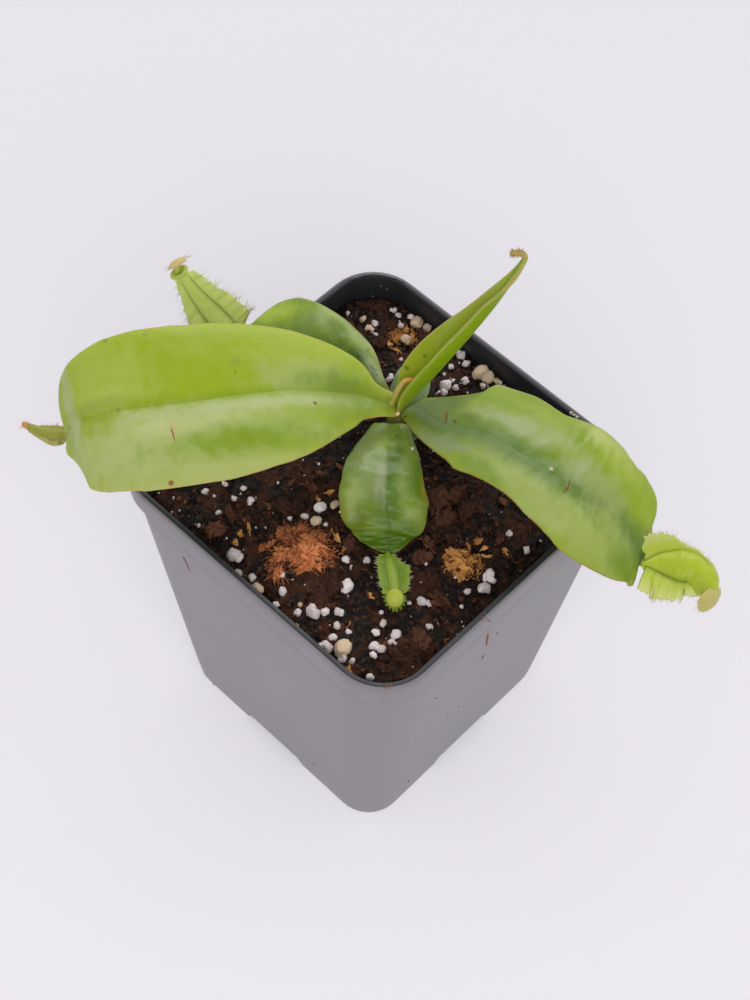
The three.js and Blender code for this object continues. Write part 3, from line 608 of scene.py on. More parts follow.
def strands_piece(name, strands, sides):
    """Many thin strands in one piece. A strand is its points, its radius at each of them, and its tone."""
    points = []
    faces = []
    tones = []
    for line, radii, tone in strands:
        line = np.asarray(line, dtype=float)
        tangents = np.gradient(line, axis=0)
        tangents /= np.linalg.norm(tangents, axis=1)[:, None] + 1e-12
        across = np.cross(tangents, (0.31, 0.17, 0.93))
        across /= np.linalg.norm(across, axis=1)[:, None] + 1e-12
        up = np.cross(across, tangents)
        first = len(points)
        for place, side, lift, radius in zip(line, across, up, radii):
            for step in range(sides):
                angle = 2 * math.pi * step / sides
                points.append(place + radius * (math.cos(angle) * side + math.sin(angle) * lift))
        for ring in range(len(line) - 1):
            for step in range(sides):
                ahead = (step + 1) % sides
                low = first + ring * sides
                faces.append((low + step, low + ahead, low + sides + ahead, low + sides + step))
        last = first + (len(line) - 1) * sides
        faces.append(tuple(reversed(range(first, first + sides))))
        faces.append(tuple(range(last, last + sides)))
        tones += [tone] * (len(line) * sides)
    piece = new_mesh(name, points, faces)
    store(piece, "tone", tones)
    return piece


def toned_material(name, dark, light, roughness, depth, size):
    """A material that runs from dark to light with the piece's tone, with a fine grain."""
    made, tree, shader = new_material(name, roughness, 0.22)
    mottle = use_group(tree, grain, Size=size, Depth=depth, Roundness=0.65)
    shade = ramp_of(tree, (mottle, "Value"), 0.3, 0.7, -0.22, 0.22, "LINEAR")
    level = node(tree, "Math", {0: stored(tree, "tone"), 1: shade}, operation="ADD", use_clamp=True)
    wire(tree, shader, {"Base Color": two_tone(tree, (level, 0), dark, light), "Normal": (mottle, "Normal")})
    return made


def dress(piece, material):
    """Gives a piece its material, and lets it ride with the pot."""
    piece.data.materials.append(material)
    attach(piece, "root")


def inside_pot(rng, margin):
    """A random place on the soil, at least margin from the wall."""
    while True:
        x = rng.uniform(-1, 1) * soil_side / 2
        y = rng.uniform(-1, 1) * soil_side / 2
        angle = math.atan2(y, x)
        free = soil_half(angle, soil_side, soil_corner) - margin
        at_stem = math.hypot(x - STEM_X, y - STEM_Y) < 0.003
        if math.hypot(x, y) < free and not at_stem:
            return x, y


# Peat crumbs and chips of bark, loose on the surface.
CRUMBS = 4200
CHIPS = 150
rng = random.Random(11)
crumbs = []
for _ in range(CRUMBS):
    x, y = inside_pot(rng, 0.0007)
    radius = 0.00016 + 0.00042 * rng.random() ** 3
    sizes = (radius, radius * rng.uniform(0.6, 1), radius * rng.uniform(0.5, 1))
    crumbs.append(((x, y, soil_height(x, y) + 0.3 * radius), sizes, rng.random() ** 2.8))
dark_peat = toned_material("peat_crumb", (0.004, 0.0021, 0.0017), (0.21, 0.08, 0.038), 0.82, 0.00012, 0.0004)
dress(lumps_piece("peat_crumbs", crumbs, 1, 0.9, rng), dark_peat)

chips = []
for _ in range(CHIPS):
    x, y = inside_pot(rng, 0.002)
    length = rng.uniform(0.0006, 0.0017)
    sizes = (length, length * rng.uniform(0.35, 0.6), length * rng.uniform(0.18, 0.3))
    chips.append(((x, y, soil_height(x, y) + 0.25 * sizes[2]), sizes, rng.random() ** 1.5))
chip_bark = toned_material("bark_chip", (0.020, 0.009, 0.006), (0.20, 0.075, 0.034), 0.8, 0.0002, 0.0006)
dress(lumps_piece("bark_chips", chips, 2, 0.7, rng), chip_bark)

MM = 0.001
PHOTO_WIDTH = 750
PHOTO_HEIGHT = 1000


def seen_at(column, row, height):
    """The place, at a height, that the photograph shows at a pixel."""
    scale = SENSOR_MM / LENS_MM / PHOTO_HEIGHT
    across = (column - PHOTO_WIDTH / 2) * scale
    down = (row - PHOTO_HEIGHT / 2) * scale
    ray = camera.matrix_world.to_3x3() @ Vector((across, -down, -1))
    return Vector(EYE) + ray * ((height - EYE[2]) / ray.z)


def on_soil(column, row, margin=0.001):
    """The place on the soil that the photograph shows at a pixel, kept clear of the wall by margin."""
    height = SOIL_SURFACE
    for _ in range(6):
        x, y, _ = seen_at(column, row, height)
        angle = math.atan2(y, x)
        free = soil_half(angle, soil_side, soil_corner) - margin
        share = min(1, free / math.hypot(x, y))
        x, y = x * share, y * share
        height = soil_height(x, y)
    return x, y, height


# The perlite and the pumice that the photograph shows: pixel, and radius in millimetres.
PERLITE = [
    (205, 492, 0.8), (226, 485, 0.8), (243, 489, 0.7), (234, 499, 0.6), (251, 501, 0.9), (219, 513, 0.7),
    (199, 526, 0.4), (235, 557, 1.7), (238, 575, 1.1), (252, 578, 0.8), (282, 576, 0.7), (282, 592, 0.9),
    (276, 605, 0.8), (320, 508, 1.3), (305, 517, 0.9), (326, 525, 0.5), (290, 519, 0.5), (346, 560, 0.9),
    (352, 569, 0.8), (346, 588, 1.5), (367, 560, 0.7), (298, 613, 0.8), (312, 614, 1.5), (325, 613, 1),
    (338, 613, 1), (337, 626, 0.9), (348, 632, 0.7), (325, 647, 1.4), (343, 659, 1), (352, 662, 0.8),
    (333, 638, 0.9), (376, 633, 0.9), (383, 624, 0.8), (374, 647, 1), (382, 650, 0.9), (391, 644, 1),
    (396, 635, 1.1), (373, 656, 0.8), (370, 678, 0.8), (381, 613, 0.5), (422, 602, 1.1), (428, 604, 0.7),
    (429, 627, 0.8), (489, 577, 1.5), (483, 589, 1.5), (527, 551, 0.9), (510, 535, 0.8), (467, 592, 0.7),
    (394, 311, 0.8), (399, 316, 0.8), (401, 326, 0.8), (411, 318, 0.8), (428, 324, 0.9), (401, 360, 0.5),
    (466, 350, 1.1), (459, 352, 0.7), (451, 367, 0.7), (466, 365, 0.9), (444, 375, 0.5), (445, 387, 1.4),
    (456, 389, 0.8), (453, 381, 0.5), (465, 382, 0.9), (510, 375, 0.6), (484, 387, 0.9), (503, 388, 0.8),
    (443, 394, 0.9), (390, 380, 1), (413, 396, 0.5), (348, 314, 0.6), (375, 324, 0.8), (375, 335, 0.6),
    (409, 603, 0.5), (462, 607, 0.5), (455, 577, 0.4),
]
PUMICE = [
    (258, 590, 1.5), (316, 522, 1.3), (335, 506, 1.1), (343, 650, 2), (417, 324, 1.7), (427, 329, 1.1),
    (406, 341, 1.4), (481, 375, 2), (496, 371, 1.6), (498, 381, 0.9), (369, 330, 1.1), (363, 320, 0.9),
    (300, 605, 0.6), (347, 541, 0.5), (226, 602, 0.6),
]
FINE_PERLITE = 230
rng = random.Random(23)
white_grains = []
for column, row, size in PERLITE:
    radius = MM * size
    x, y, z = on_soil(column, row, radius + 0.0003)
    for lump in range(rng.choice((2, 3, 3))):
        share = 0.86 if lump == 0 else rng.uniform(0.45, 0.65)
        away = 0 if lump == 0 else radius * 0.55
        turn = rng.uniform(0, 2 * math.pi)
        middle = (x + away * math.cos(turn), y + away * math.sin(turn), z + 0.35 * radius)
        sizes = [radius * share * rng.uniform(0.8, 1.3) for _ in range(3)]
        white_grains.append((middle, sizes, rng.uniform(0.55, 1)))
for _ in range(FINE_PERLITE):
    x, y = inside_pot(rng, 0.001)
    radius = 0.00013 + 0.00025 * rng.random() ** 2.5
    sizes = [radius * rng.uniform(0.7, 1.1) for _ in range(3)]
    white_grains.append(((x, y, soil_height(x, y) + 0.4 * radius), sizes, rng.uniform(0.35, 1)))
white = toned_material("perlite_white", (0.46, 0.36, 0.31), (0.90, 0.82, 0.81), 0.75, 0.00016, 0.0005)
dress(lumps_piece("perlite", white_grains, 3, 0.22, rng, 9), white)

tan_grains = []
for column, row, size in PUMICE:
    radius = MM * size
    x, y, z = on_soil(column, row, radius + 0.0003)
    sizes = (radius, radius * rng.uniform(0.75, 0.9), radius * rng.uniform(0.7, 0.85))
    tan_grains.append(((x, y, z + 0.35 * radius), sizes, rng.uniform(0.5, 0.9)))
tan = toned_material("pumice_tan", (0.46, 0.28, 0.16), (0.84, 0.68, 0.48), 0.8, 0.00012, 0.0005)
dress(lumps_piece("pumice", tan_grains, 4, 0.16, rng, 6), tan)


def wandering_line(rng, start, heading, length, steps, wander, lift):
    """A line that wanders over the soil. lift is its height above it, from its start to its end."""
    x, y = start
    line = []
    for step in range(steps):
        share = step / (steps - 1)
        raised = lift[0] + (lift[1] - lift[0]) * share
        line.append((x, y, soil_height(x, y) + raised + 0.0002 * math.sin(9 * share + heading)))
        heading += rng.uniform(-wander, wander)
        x += length / steps * math.cos(heading)
        y += length / steps * math.sin(heading)
        free = soil_half(math.atan2(y, x), soil_side, soil_corner) - 0.0006
        kept = min(1, free / math.hypot(x, y))
        x, y = x * kept, y * kept
    return line


# Fine root and bark fibres over the whole surface.
FIBRES = 380
rng = random.Random(37)
fibres = []
for _ in range(FIBRES):
    start = inside_pot(rng, 0.006)
    length = rng.uniform(0.002, 0.0055)
    radius = rng.uniform(0.00004, 0.00011)
    lift = (rng.uniform(-0.0001, 0.0002), rng.uniform(0, 0.0009))
    line = wandering_line(rng, start, rng.uniform(0, 2 * math.pi), length, 7, 0.55, lift)
    fibres.append((line, [radius, radius, radius, radius * 0.9, radius * 0.8, radius * 0.6, radius * 0.3],
                   rng.random() ** 2.6))
fibre_brown = toned_material("fibre_brown", (0.022, 0.01, 0.007), (0.27, 0.115, 0.055), 0.8, 0.00005, 0.0003)
dress(strands_piece("root_fibres", fibres, 4), fibre_brown)


def tufts(rng, rows):
    """The strands of low mounds of curled threads. Each row is a tuft, as the tables say."""
    profile = (0.35, 0.8, 1, 1, 0.95, 0.8, 0.55, 0.2)
    strands = []
    for column, row, wide, deep, turn, height, count, length, thick, curl in rows:
        x, y, _ = on_soil(column, row)
        for _ in range(count):
            away = math.sqrt(rng.random())
            angle = rng.uniform(0, 2 * math.pi)
            a = away * wide * math.cos(angle)
            b = away * deep * math.sin(angle)
            start = (x + a * math.cos(turn) - b * math.sin(turn), y + a * math.sin(turn) + b * math.cos(turn))
            raised = height * (1 - away * away) * rng.uniform(0.2, 1)
            heading = turn + rng.gauss(0, 0.9)
            own = length * rng.uniform(0.5, 1.2)
            line = wandering_line(rng, start, heading, own, 8, curl, (raised, raised * rng.uniform(0, 1.1)))
            radius = thick * rng.uniform(0.5, 1.3)
            strands.append((line, [radius * share for share in profile], rng.random()))
    return strands


# Dry moss: a matted orange tuft at the front, curled ochre flakes at the right, and soft brown clods of peat.
MOSS_PADS = [
    (292, 541, 2.1), (303, 547, 2.4), (314, 546, 2), (300, 557, 2.2), (311, 559, 2.2), (285, 553, 1.7),
    (321, 553, 1.6), (276, 561, 1.3), (278, 574, 1.2), (306, 567, 1.5), (296, 533, 1.4), (270, 545, 1),
    (282, 535, 1.1), (322, 540, 1.1), (262, 548, 0.8),
]
OCHRE_FLAKES = [
    (449, 560, 1.3), (455, 556, 1.5), (462, 553, 1.4), (468, 549, 1.2), (477, 541, 1), (452, 568, 1.4),
    (460, 565, 1.7), (468, 562, 1.5), (476, 556, 1), (457, 575, 1.2), (464, 571, 1.3), (479, 564, 1.1),
    (486, 557, 0.9), (460, 580, 0.8), (444, 556, 0.8), (483, 549, 0.8), (471, 569, 0.9), (405, 332, 1.4),
    (398, 340, 1.2), (412, 338, 1.1), (397, 351, 1), (391, 345, 0.8), (240, 536, 1.1), (248, 530, 1),
    (236, 543, 0.8), (336, 540, 1), (344, 548, 0.8), (331, 532, 0.7), (295, 627, 0.8), (349, 671, 0.8),
    (348, 625, 0.6), (369, 596, 0.7), (505, 552, 0.6), (330, 493, 1), (318, 500, 0.8),
]
CLODS = [
    (436, 500, 3), (444, 520, 2.6), (455, 497, 2.4), (430, 545, 2.2), (420, 560, 2), (470, 510, 2.2),
    (300, 500, 2), (285, 508, 2.2), (312, 490, 1.8), (215, 530, 2.2), (230, 515, 1.8), (355, 575, 2.2),
    (330, 585, 2), (270, 590, 1.8), (395, 655, 2.2), (420, 640, 2), (440, 600, 2.4), (405, 690, 1.4),
    (500, 540, 1.8), (350, 545, 1.8), (380, 345, 1.8), (425, 345, 2), (445, 335, 1.6), (380, 310, 1.6),
    (486, 400, 1.4),
]

# Threads of moss and of peat fluff: pixel, half sizes, turn, height, count, length, thickness and curl.
ORANGE_TUFTS = [
    (304, 549, 0.0056, 0.0034, 0.6, 0.0012, 230, 0.0036, 0.00015, 0.9),
    (279, 563, 0.0034, 0.0016, -0.9, 0.0010, 120, 0.0040, 0.00009, 0.4),
    (300, 534, 0.0046, 0.0014, 0.3, 0.0011, 110, 0.0050, 0.00008, 0.4),
]
OCHRE_TUFTS = [
    (463, 561, 0.0040, 0.0028, 0.3, 0.0012, 130, 0.0022, 0.00009, 0.9),
    (402, 338, 0.0036, 0.0024, 0.5, 0.0009, 80, 0.0022, 0.00009, 0.9),
]
# Fluff stands round these pixels: half size and count.
FLUFF = [
    (268, 528, 0.0075, 90), (318, 497, 0.0070, 90), (450, 505, 0.0080, 130), (440, 540, 0.0055, 60),
    (470, 480, 0.0060, 50), (225, 520, 0.0055, 50), (385, 664, 0.0050, 50), (330, 560, 0.0050, 50),
    (440, 345, 0.0055, 40), (395, 300, 0.0035, 30), (500, 560, 0.0040, 30), (410, 660, 0.0045, 40),
]


def pads(places, flat, rng):
    """Lumps on the soil at pixels of the photograph, flattened to a share of their radius."""
    made = []
    for column, row, size in places:
        radius = MM * size
        x, y, z = on_soil(column, row, radius)
        sizes = (radius * rng.uniform(0.9, 1.2), radius * rng.uniform(0.6, 0.9), radius * flat)
        made.append(((x, y, z + 0.4 * sizes[2]), sizes, rng.uniform(0.25, 1)))
    return made


rng = random.Random(51)
orange = toned_material("dry_moss_orange", (0.110, 0.033, 0.018), (0.86, 0.31, 0.115), 0.9, 0.0004, 0.0006)
moss_pads = lumps_piece("moss_pads", pads(MOSS_PADS, 0.46, rng), 4, 1.2, rng, scale=3.6)
dress(moss_pads, orange)
dress(strands_piece("orange_moss", tufts(rng, ORANGE_TUFTS), 4), orange)
ochre = toned_material("dry_moss_ochre", (0.36, 0.135, 0.036), (0.84, 0.43, 0.13), 0.7, 0.00012, 0.0005)
dress(lumps_piece("ochre_flakes", pads(OCHRE_FLAKES, 0.30, rng), 4, 1.3, rng, 3), ochre)
dress(strands_piece("ochre_moss", tufts(rng, OCHRE_TUFTS), 4), ochre)
soft_peat = toned_material("soft_peat", (0.020, 0.0095, 0.007), (0.165, 0.068, 0.038), 0.95, 0.0004, 0.0007)
dress(lumps_piece("peat_clods", pads(CLODS, 0.36, rng), 4, 0.8, rng, scale=2.6), soft_peat)
fluff = []
for column, row, wide, count in FLUFF:
    turn = rng.uniform(0, 3)
    fluff += tufts(rng, [(column, row, wide, 0.7 * wide, turn, 0.0007, count, 0.0030, 0.00007, 0.7)])
dress(strands_piece("brown_fluff", fluff, 4), soft_peat)

# ---------------------------------------------------------------- bark strip
# A torn strip of dry bark that lies over the rim at the left corner, where it fell when the pot was filled.
# It is fibrous, with ragged edges, and its thin end lies on the peat.
BARK_LINE = [
    (-0.0384, -0.0282, 0.0829), (-0.0344, -0.0280, 0.0828), (-0.0306, -0.0272, 0.0802),
    (-0.0270, -0.0260, 0.07705),
]
BARK_WIDTH = 0.0022
BARK_THICKNESS = 0.0012
BARK_TAPER = 0.25
BARK_STEPS = 60
BARK_SIDES = 28
BARK_DARK = (0.028, 0.011, 0.008)
BARK_LIGHT = (0.24, 0.085, 0.045)


def between(stations, share):
    """Smooth values between stations, which are rows of numbers. share runs from 0 to 1."""
    rows = np.asarray(stations, dtype=float)
    last = len(rows) - 1
    first = min(int(share * last), last - 1)
    u = share * last - first
    b, c = rows[first], rows[first + 1]
    a = rows[first - 1] if first > 0 else 2 * b - c
    d = rows[first + 2] if first + 2 <= last else 2 * c - b
    return 0.5 * (2 * b + (c - a) * u + (2 * a - 5 * b + 4 * c - d) * u**2 + (3 * b - a - 3 * c + d) * u**3)


def frames_along(stations, steps, first_across=None):
    """Along stations: at each step its values, point, tangent, across and up, carried along untwisted."""
    values = [between(stations, step / steps) for step in range(steps + 1)]
    points = [Vector(row[:3]) for row in values]
    frames = []
    for step in range(steps + 1):
        tangent = (points[min(step + 1, steps)] - points[max(step - 1, 0)]).normalized()
        if step == 0:
            across = Vector(first_across) if first_across else tangent.cross(Vector((0, 0, 1)))
            across = (across - tangent * across.dot(tangent)).normalized()
        else:
            across = frames[-1][2].rotation_difference(tangent) @ frames[-1][3]
        frames.append((values[step], points[step], tangent, across, across.cross(tangent)))
    return frames


rings = []
for step, (_, point, tangent, across, up) in enumerate(frames_along(BARK_LINE, BARK_STEPS)):
    share = step / BARK_STEPS
    half = BARK_WIDTH / 2 * (1 - BARK_TAPER * share)
    ring = []
    for side in range(BARK_SIDES):
        angle = 2 * math.pi * side / BARK_SIDES
        ridge = noise.noise(Vector((3.5 * math.cos(angle), 3.5 * math.sin(angle), share * 5)))
        torn = noise.noise(Vector((7 * math.cos(angle), 7 * math.sin(angle), share * 22)))
        swell = 0.92 + 0.16 * ridge + 0.10 * torn
        a = half * swell * math.copysign(abs(math.cos(angle)) ** 0.7, math.cos(angle))
        n = BARK_THICKNESS / 2 * swell * math.sin(angle)
        ring.append(point + across * a + up * n)
    rings.append(ring)
bark_strip = lofted("torn_bark", rings)
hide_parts("bark_strip")
bark, tree, shader = new_material("torn_bark", 0.72, 0.4)
place = node(tree, "TexCoord")
stretch = node(tree, "Mapping", {"Vector": (place, "Object"), "Scale": (0.16, 1, 1)})
streaks = node(tree, "TexNoise", {
    "Vector": (stretch, "Vector"), "Scale": 900.0, "Detail": 5.0, "Roughness": 0.7,
})
bump = node(tree, "Bump", {"Strength": 1.0, "Distance": 0.0002, "Height": (streaks, 0)})
pale = ramp_of(tree, (streaks, 0), 0.35, 0.68, kind="LINEAR")
wire(tree, shader, {"Base Color": two_tone(tree, pale, BARK_DARK, BARK_LIGHT), "Normal": (bump, "Normal")})
dress(bark_strip, bark)

# ---------------------------------------------------------------- stem
# The short upright stem, ringed where old leaves stood, with its foot in a hole in the soil. It is green and
# brown, and its old leaf bases leave thin dry collars round it.
STEM_PROFILE = [
    (0.0019, 0.0620), (0.0019, 0.0760), (0.0016, 0.0780), (0.0019, 0.0794), (0.0016, 0.0810),
    (0.0018, 0.0826), (0.0015, 0.0842), (0.0017, 0.0856), (0.0013, 0.0868),
]
STEM_RINGS = 90
STEM_SIDES = 28


def srgb(red, green, blue):
    """A colour as the eye reads it on a screen, from 0 to 255, turned into the shader's linear values."""
    linear = []
    for value in (red, green, blue):
        share = value / 255
        linear.append(share / 12.92 if share < 0.04045 else ((share + 0.055) / 1.055) ** 2.4)
    return tuple(linear)


rings = []
for step in range(STEM_RINGS + 1):
    height = STEM_PROFILE[0][1] + (STEM_PROFILE[-1][1] - STEM_PROFILE[0][1]) * step / STEM_RINGS
    radius = np.interp(height, [z for _, z in STEM_PROFILE], [r for r, _ in STEM_PROFILE])
    ring = []
    for side in range(STEM_SIDES):
        angle = 2 * math.pi * side / STEM_SIDES
        rough = noise.fractal(Vector((math.cos(angle), math.sin(angle), height * 900)), 0.8, 2, 3)
        away = radius * (1 + 0.06 * rough)
        ring.append((STEM_X + away * math.cos(angle), STEM_Y + away * math.sin(angle), height))
    rings.append(ring)
ringed_stem = lofted("ringed_stem", rings)
stem_skin, tree, shader = new_material("stem_skin", 0.55, 0.4)
bands = patch_mask(tree, 0.002, 0.5, 0.12, 2.0)
rough = use_group(tree, grain, Size=0.0005, Depth=0.00008, Roundness=0.6)
wire(tree, shader, {
    "Base Color": two_tone(tree, bands, srgb(108, 132, 48), srgb(120, 88, 48)),
    "Normal": (rough, "Normal"),
})
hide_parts("stem")
dress(ringed_stem, stem_skin)

# ---------------------------------------------------------------- leaves
# Seven leaves in a rosette. A leaf is one thin fleshy blade with a midrib, sunk on its upper face and keeled
# below. It narrows to a stalk at the stem, and its midrib runs on past the tip as a round tendril.
BLADE_THICKNESS = 0.00058
TENDRIL_THICKNESS = 0.0011
STALK_HALF = 0.0005
GROOVE_DEPTH = 0.00006
GROOVE_REACH = 0.00045
KEEL_HEIGHT = 0.0005
KEEL_REACH = 0.0007
HALF_COLUMNS = 20
# How close together the blade's unevenness lies, per metre.
TEARS = 260
RIPPLES = 620
CRINKLES = 190
BLISTERS = 150
PUCKERS = (560, 260)
# The ragged edges of the painted sheen and shade patches: how close their unevenness lies, per metre.
PAINTED_LIGHT_STREAKS = (430, 210, 1)


def smooth(value, low, high):
    """0 below low, 1 above high, and an even rise between them."""
    share = min(1, max(0, (value - low) / (high - low)))
    return share * share * (3 - 2 * share)


def half_section(away, half, fold, curl):
    """Where a half blade is at a distance from its midrib: how far across and up, and its slope there."""
    start = math.radians(fold)
    bend = math.radians(curl) / max(half, 0.0001)
    slope = start + bend * away
    if abs(bend) < 0.001:
        return away * math.cos(start), away * math.sin(start), slope
    return (math.sin(slope) - math.sin(start)) / bend, (math.cos(start) - math.cos(slope)) / bend, slope


def blade(name, leaf):
    """One leaf as a closed skin. It stores how far a point is along, from the midrib and from the margin."""
    shares = [0.5 - 0.5 * math.cos(math.pi * step / HALF_COLUMNS) for step in range(HALF_COLUMNS + 1)]
    columns = [-share for share in reversed(shares[1:])] + shares
    rings = []
    along_values = []
    rib_values = []
    margin_values = []
    stations = [(*(MM * number for number in row[:5]), *(*row[5:], 0, 0)[:2]) for row in leaf["stations"]]
    for row, (values, point, _, across, up) in enumerate(frames_along(stations, leaf["rows"])):
        t = row / leaf["rows"]
        yawed = [Matrix.Rotation(math.radians(yaw), 3, up) @ across for yaw in values[5:]]
        above = []
        below = []
        for v in columns:
            right = v >= 0
            side = 1 if right else -1
            a = yawed[0 if right else 1]
            half = max(STALK_HALF, values[3] if right else values[4])
            slim = smooth(half, 0.0006, 0.003)
            fine = leaf["seed"] + 2.1 * side
            torn = noise.noise(Vector((t * leaf["length"] * TEARS, fine, 0)))
            ripple = noise.noise(Vector((t * leaf["length"] * RIPPLES, fine, 5)))
            half *= 1 + slim * leaf["ragged"] * (0.012 * torn + 0.005 * ripple)
            end = math.sqrt(1 - 0.96 * max(0, t - 0.97) ** 2 / 0.03 ** 2)
            half *= end
            fold = leaf["fold"][0 if right else 1] * slim
            curl = leaf["curl"][0 if right else 1] * slim
            away = abs(v) * half
            out, rise, slope = half_section(away, half, fold, curl)
            rounded = leaf["rib_round"]
            near = min(1, away / rounded)
            rise -= math.sin(math.radians(fold)) * rounded * (near - near * near / 2)
            slope -= math.radians(fold) * (1 - near)
            phase = 2 * math.pi * leaf["waves"] * t + (0 if right else 2)
            ends = math.sin(math.pi * t)
            wave = leaf["wave_height"] * slim * v * v * math.sin(phase) * ends
            crinkle = leaf["crinkle"] * slim * abs(v) ** 3 * ends
            wave += crinkle * noise.noise(Vector((t * leaf["length"] * CRINKLES, fine, 9)))
            spot = Vector((t * leaf["length"], side * away, leaf["seed"]))
            wave += leaf["blister"] * slim * (1 - v ** 8) * noise.fractal(spot * BLISTERS, 1, 2, 2)
            folded = (t * leaf["length"] * PUCKERS[0], side * away * PUCKERS[1], leaf["seed"] + 3)
            pucker = noise.noise(Vector(folded))
            wave += leaf["pucker"] * slim * (1 - v ** 6) * ends * pucker
            middle = point + a * (side * out) + up * (rise + wave)
            normal = up * math.cos(slope) - a * (side * math.sin(slope))
            power = 2 + 12 * slim
            full = TENDRIL_THICKNESS + (BLADE_THICKNESS - TENDRIL_THICKNESS) * slim
            thick = full * end * math.sqrt(max(0, 1 - abs(v) ** power))
            groove = GROOVE_DEPTH * slim * math.exp(-((away / GROOVE_REACH) ** 2))
            keel = KEEL_HEIGHT * slim * math.exp(-((away / KEEL_REACH) ** 2))
            above.append((middle + normal * (thick / 2 - groove), side * away, half - away))
            below.append((middle - normal * (thick / 2 + keel), side * away, half - away))
        ring = above + below[-2:0:-1]
        rings.append([place for place, _, _ in ring])
        along_values += [t] * len(ring)
        rib_values += [rib for _, rib, _ in ring]
        margin_values += [margin for _, _, margin in ring]
    piece = lofted(name, rings)
    store(piece, "along", along_values)
    store(piece, "rib", rib_values)
    store(piece, "margin", margin_values)
    store(piece, "laid_flat", [(t * leaf["length"], rib, 0) for t, rib in zip(along_values, rib_values)])
    return piece


def laid_on(tree, mask, below, over, strength=1.0):
    """The screen colour over laid on the colour below, as far as the mask says."""
    return two_tone(tree, calculated(tree, "MULTIPLY", mask, strength), below, srgb(*over))


# Spot: a mask round one place on a surface, with an uneven edge.
spot_group, spot_in, spot_out = new_group("spot", {"Place": (0, 0, 0), "Reach": 0.001}, ["Mask"])
place = node(spot_group, "TexCoord")
apart = vector_sum(spot_group, "DISTANCE", (place, "Object"), (spot_in, "Place"), "Value")
blur = node(spot_group, "TexNoise", {"Vector": (place, "Object"), "Scale": 2200.0, "Detail": 2.0})
uneven = ramp_of(spot_group, (blur, 0), 0, 1, 0.65, 1.35, "LINEAR")
stretched = calculated(spot_group, "MULTIPLY", apart, uneven)
per_reach = calculated(spot_group, "DIVIDE", stretched, (spot_in, "Reach"))
wire(spot_group, spot_out, {"Mask": ramp_of(spot_group, per_reach, 0.6, 1.1, 1, 0)})


search_trees = {}


def seen_on(piece, column, row):
    """The place on a piece that the photograph shows at a pixel, and the surface's normal there."""
    if piece.name not in search_trees:
        search_trees[piece.name] = BVHTree.FromPolygons(
            [vertex.co for vertex in piece.data.vertices],
            [polygon.vertices for polygon in piece.data.polygons],
        )
    tree = search_trees[piece.name]
    far = seen_at(column, row, 0)
    place, normal, _, _ = tree.ray_cast(Vector(EYE), (far - Vector(EYE)).normalized())
    if place is None:
        height = sum(vertex.co.z for vertex in piece.data.vertices) / len(piece.data.vertices)
        place, normal, _, _ = tree.find_nearest(seen_at(column, row, height))
    return place, normal


# Painted light: a soft patch of painted sheen or shade on a blade, by its middle and its half sizes along and
# across.
painted_light_group, painted_light_in, painted_light_out = new_group(
    "painted_light", {"Middle": (0, 0, 0), "Half": (1, 1, 1), "Uneven": 0.0}, ["Mask"]
)
laid_flat = stored(painted_light_group, "laid_flat", "Vector")
shifted = vector_sum(painted_light_group, "SUBTRACT", laid_flat, (painted_light_in, "Middle"))
shared = vector_sum(painted_light_group, "DIVIDE", shifted, (painted_light_in, "Half"))
reached = vector_sum(painted_light_group, "LENGTH", shared, output="Value")
ragged = calculated(painted_light_group, "ADD", reached, (painted_light_in, "Uneven"))
wire(painted_light_group, painted_light_out, {"Mask": ramp_of(painted_light_group, ragged, 0.15, 1.3, 1, 0)})


def flat_at(piece, column, row):
    """Where on the blade, laid flat, the photograph shows a pixel."""
    place, _ = seen_on(piece, column, row)
    nearest = min(piece.data.vertices, key=lambda vertex: (vertex.co - place).length)
    return Vector(piece.data.attributes["laid_flat"].data[nearest.index].vector)


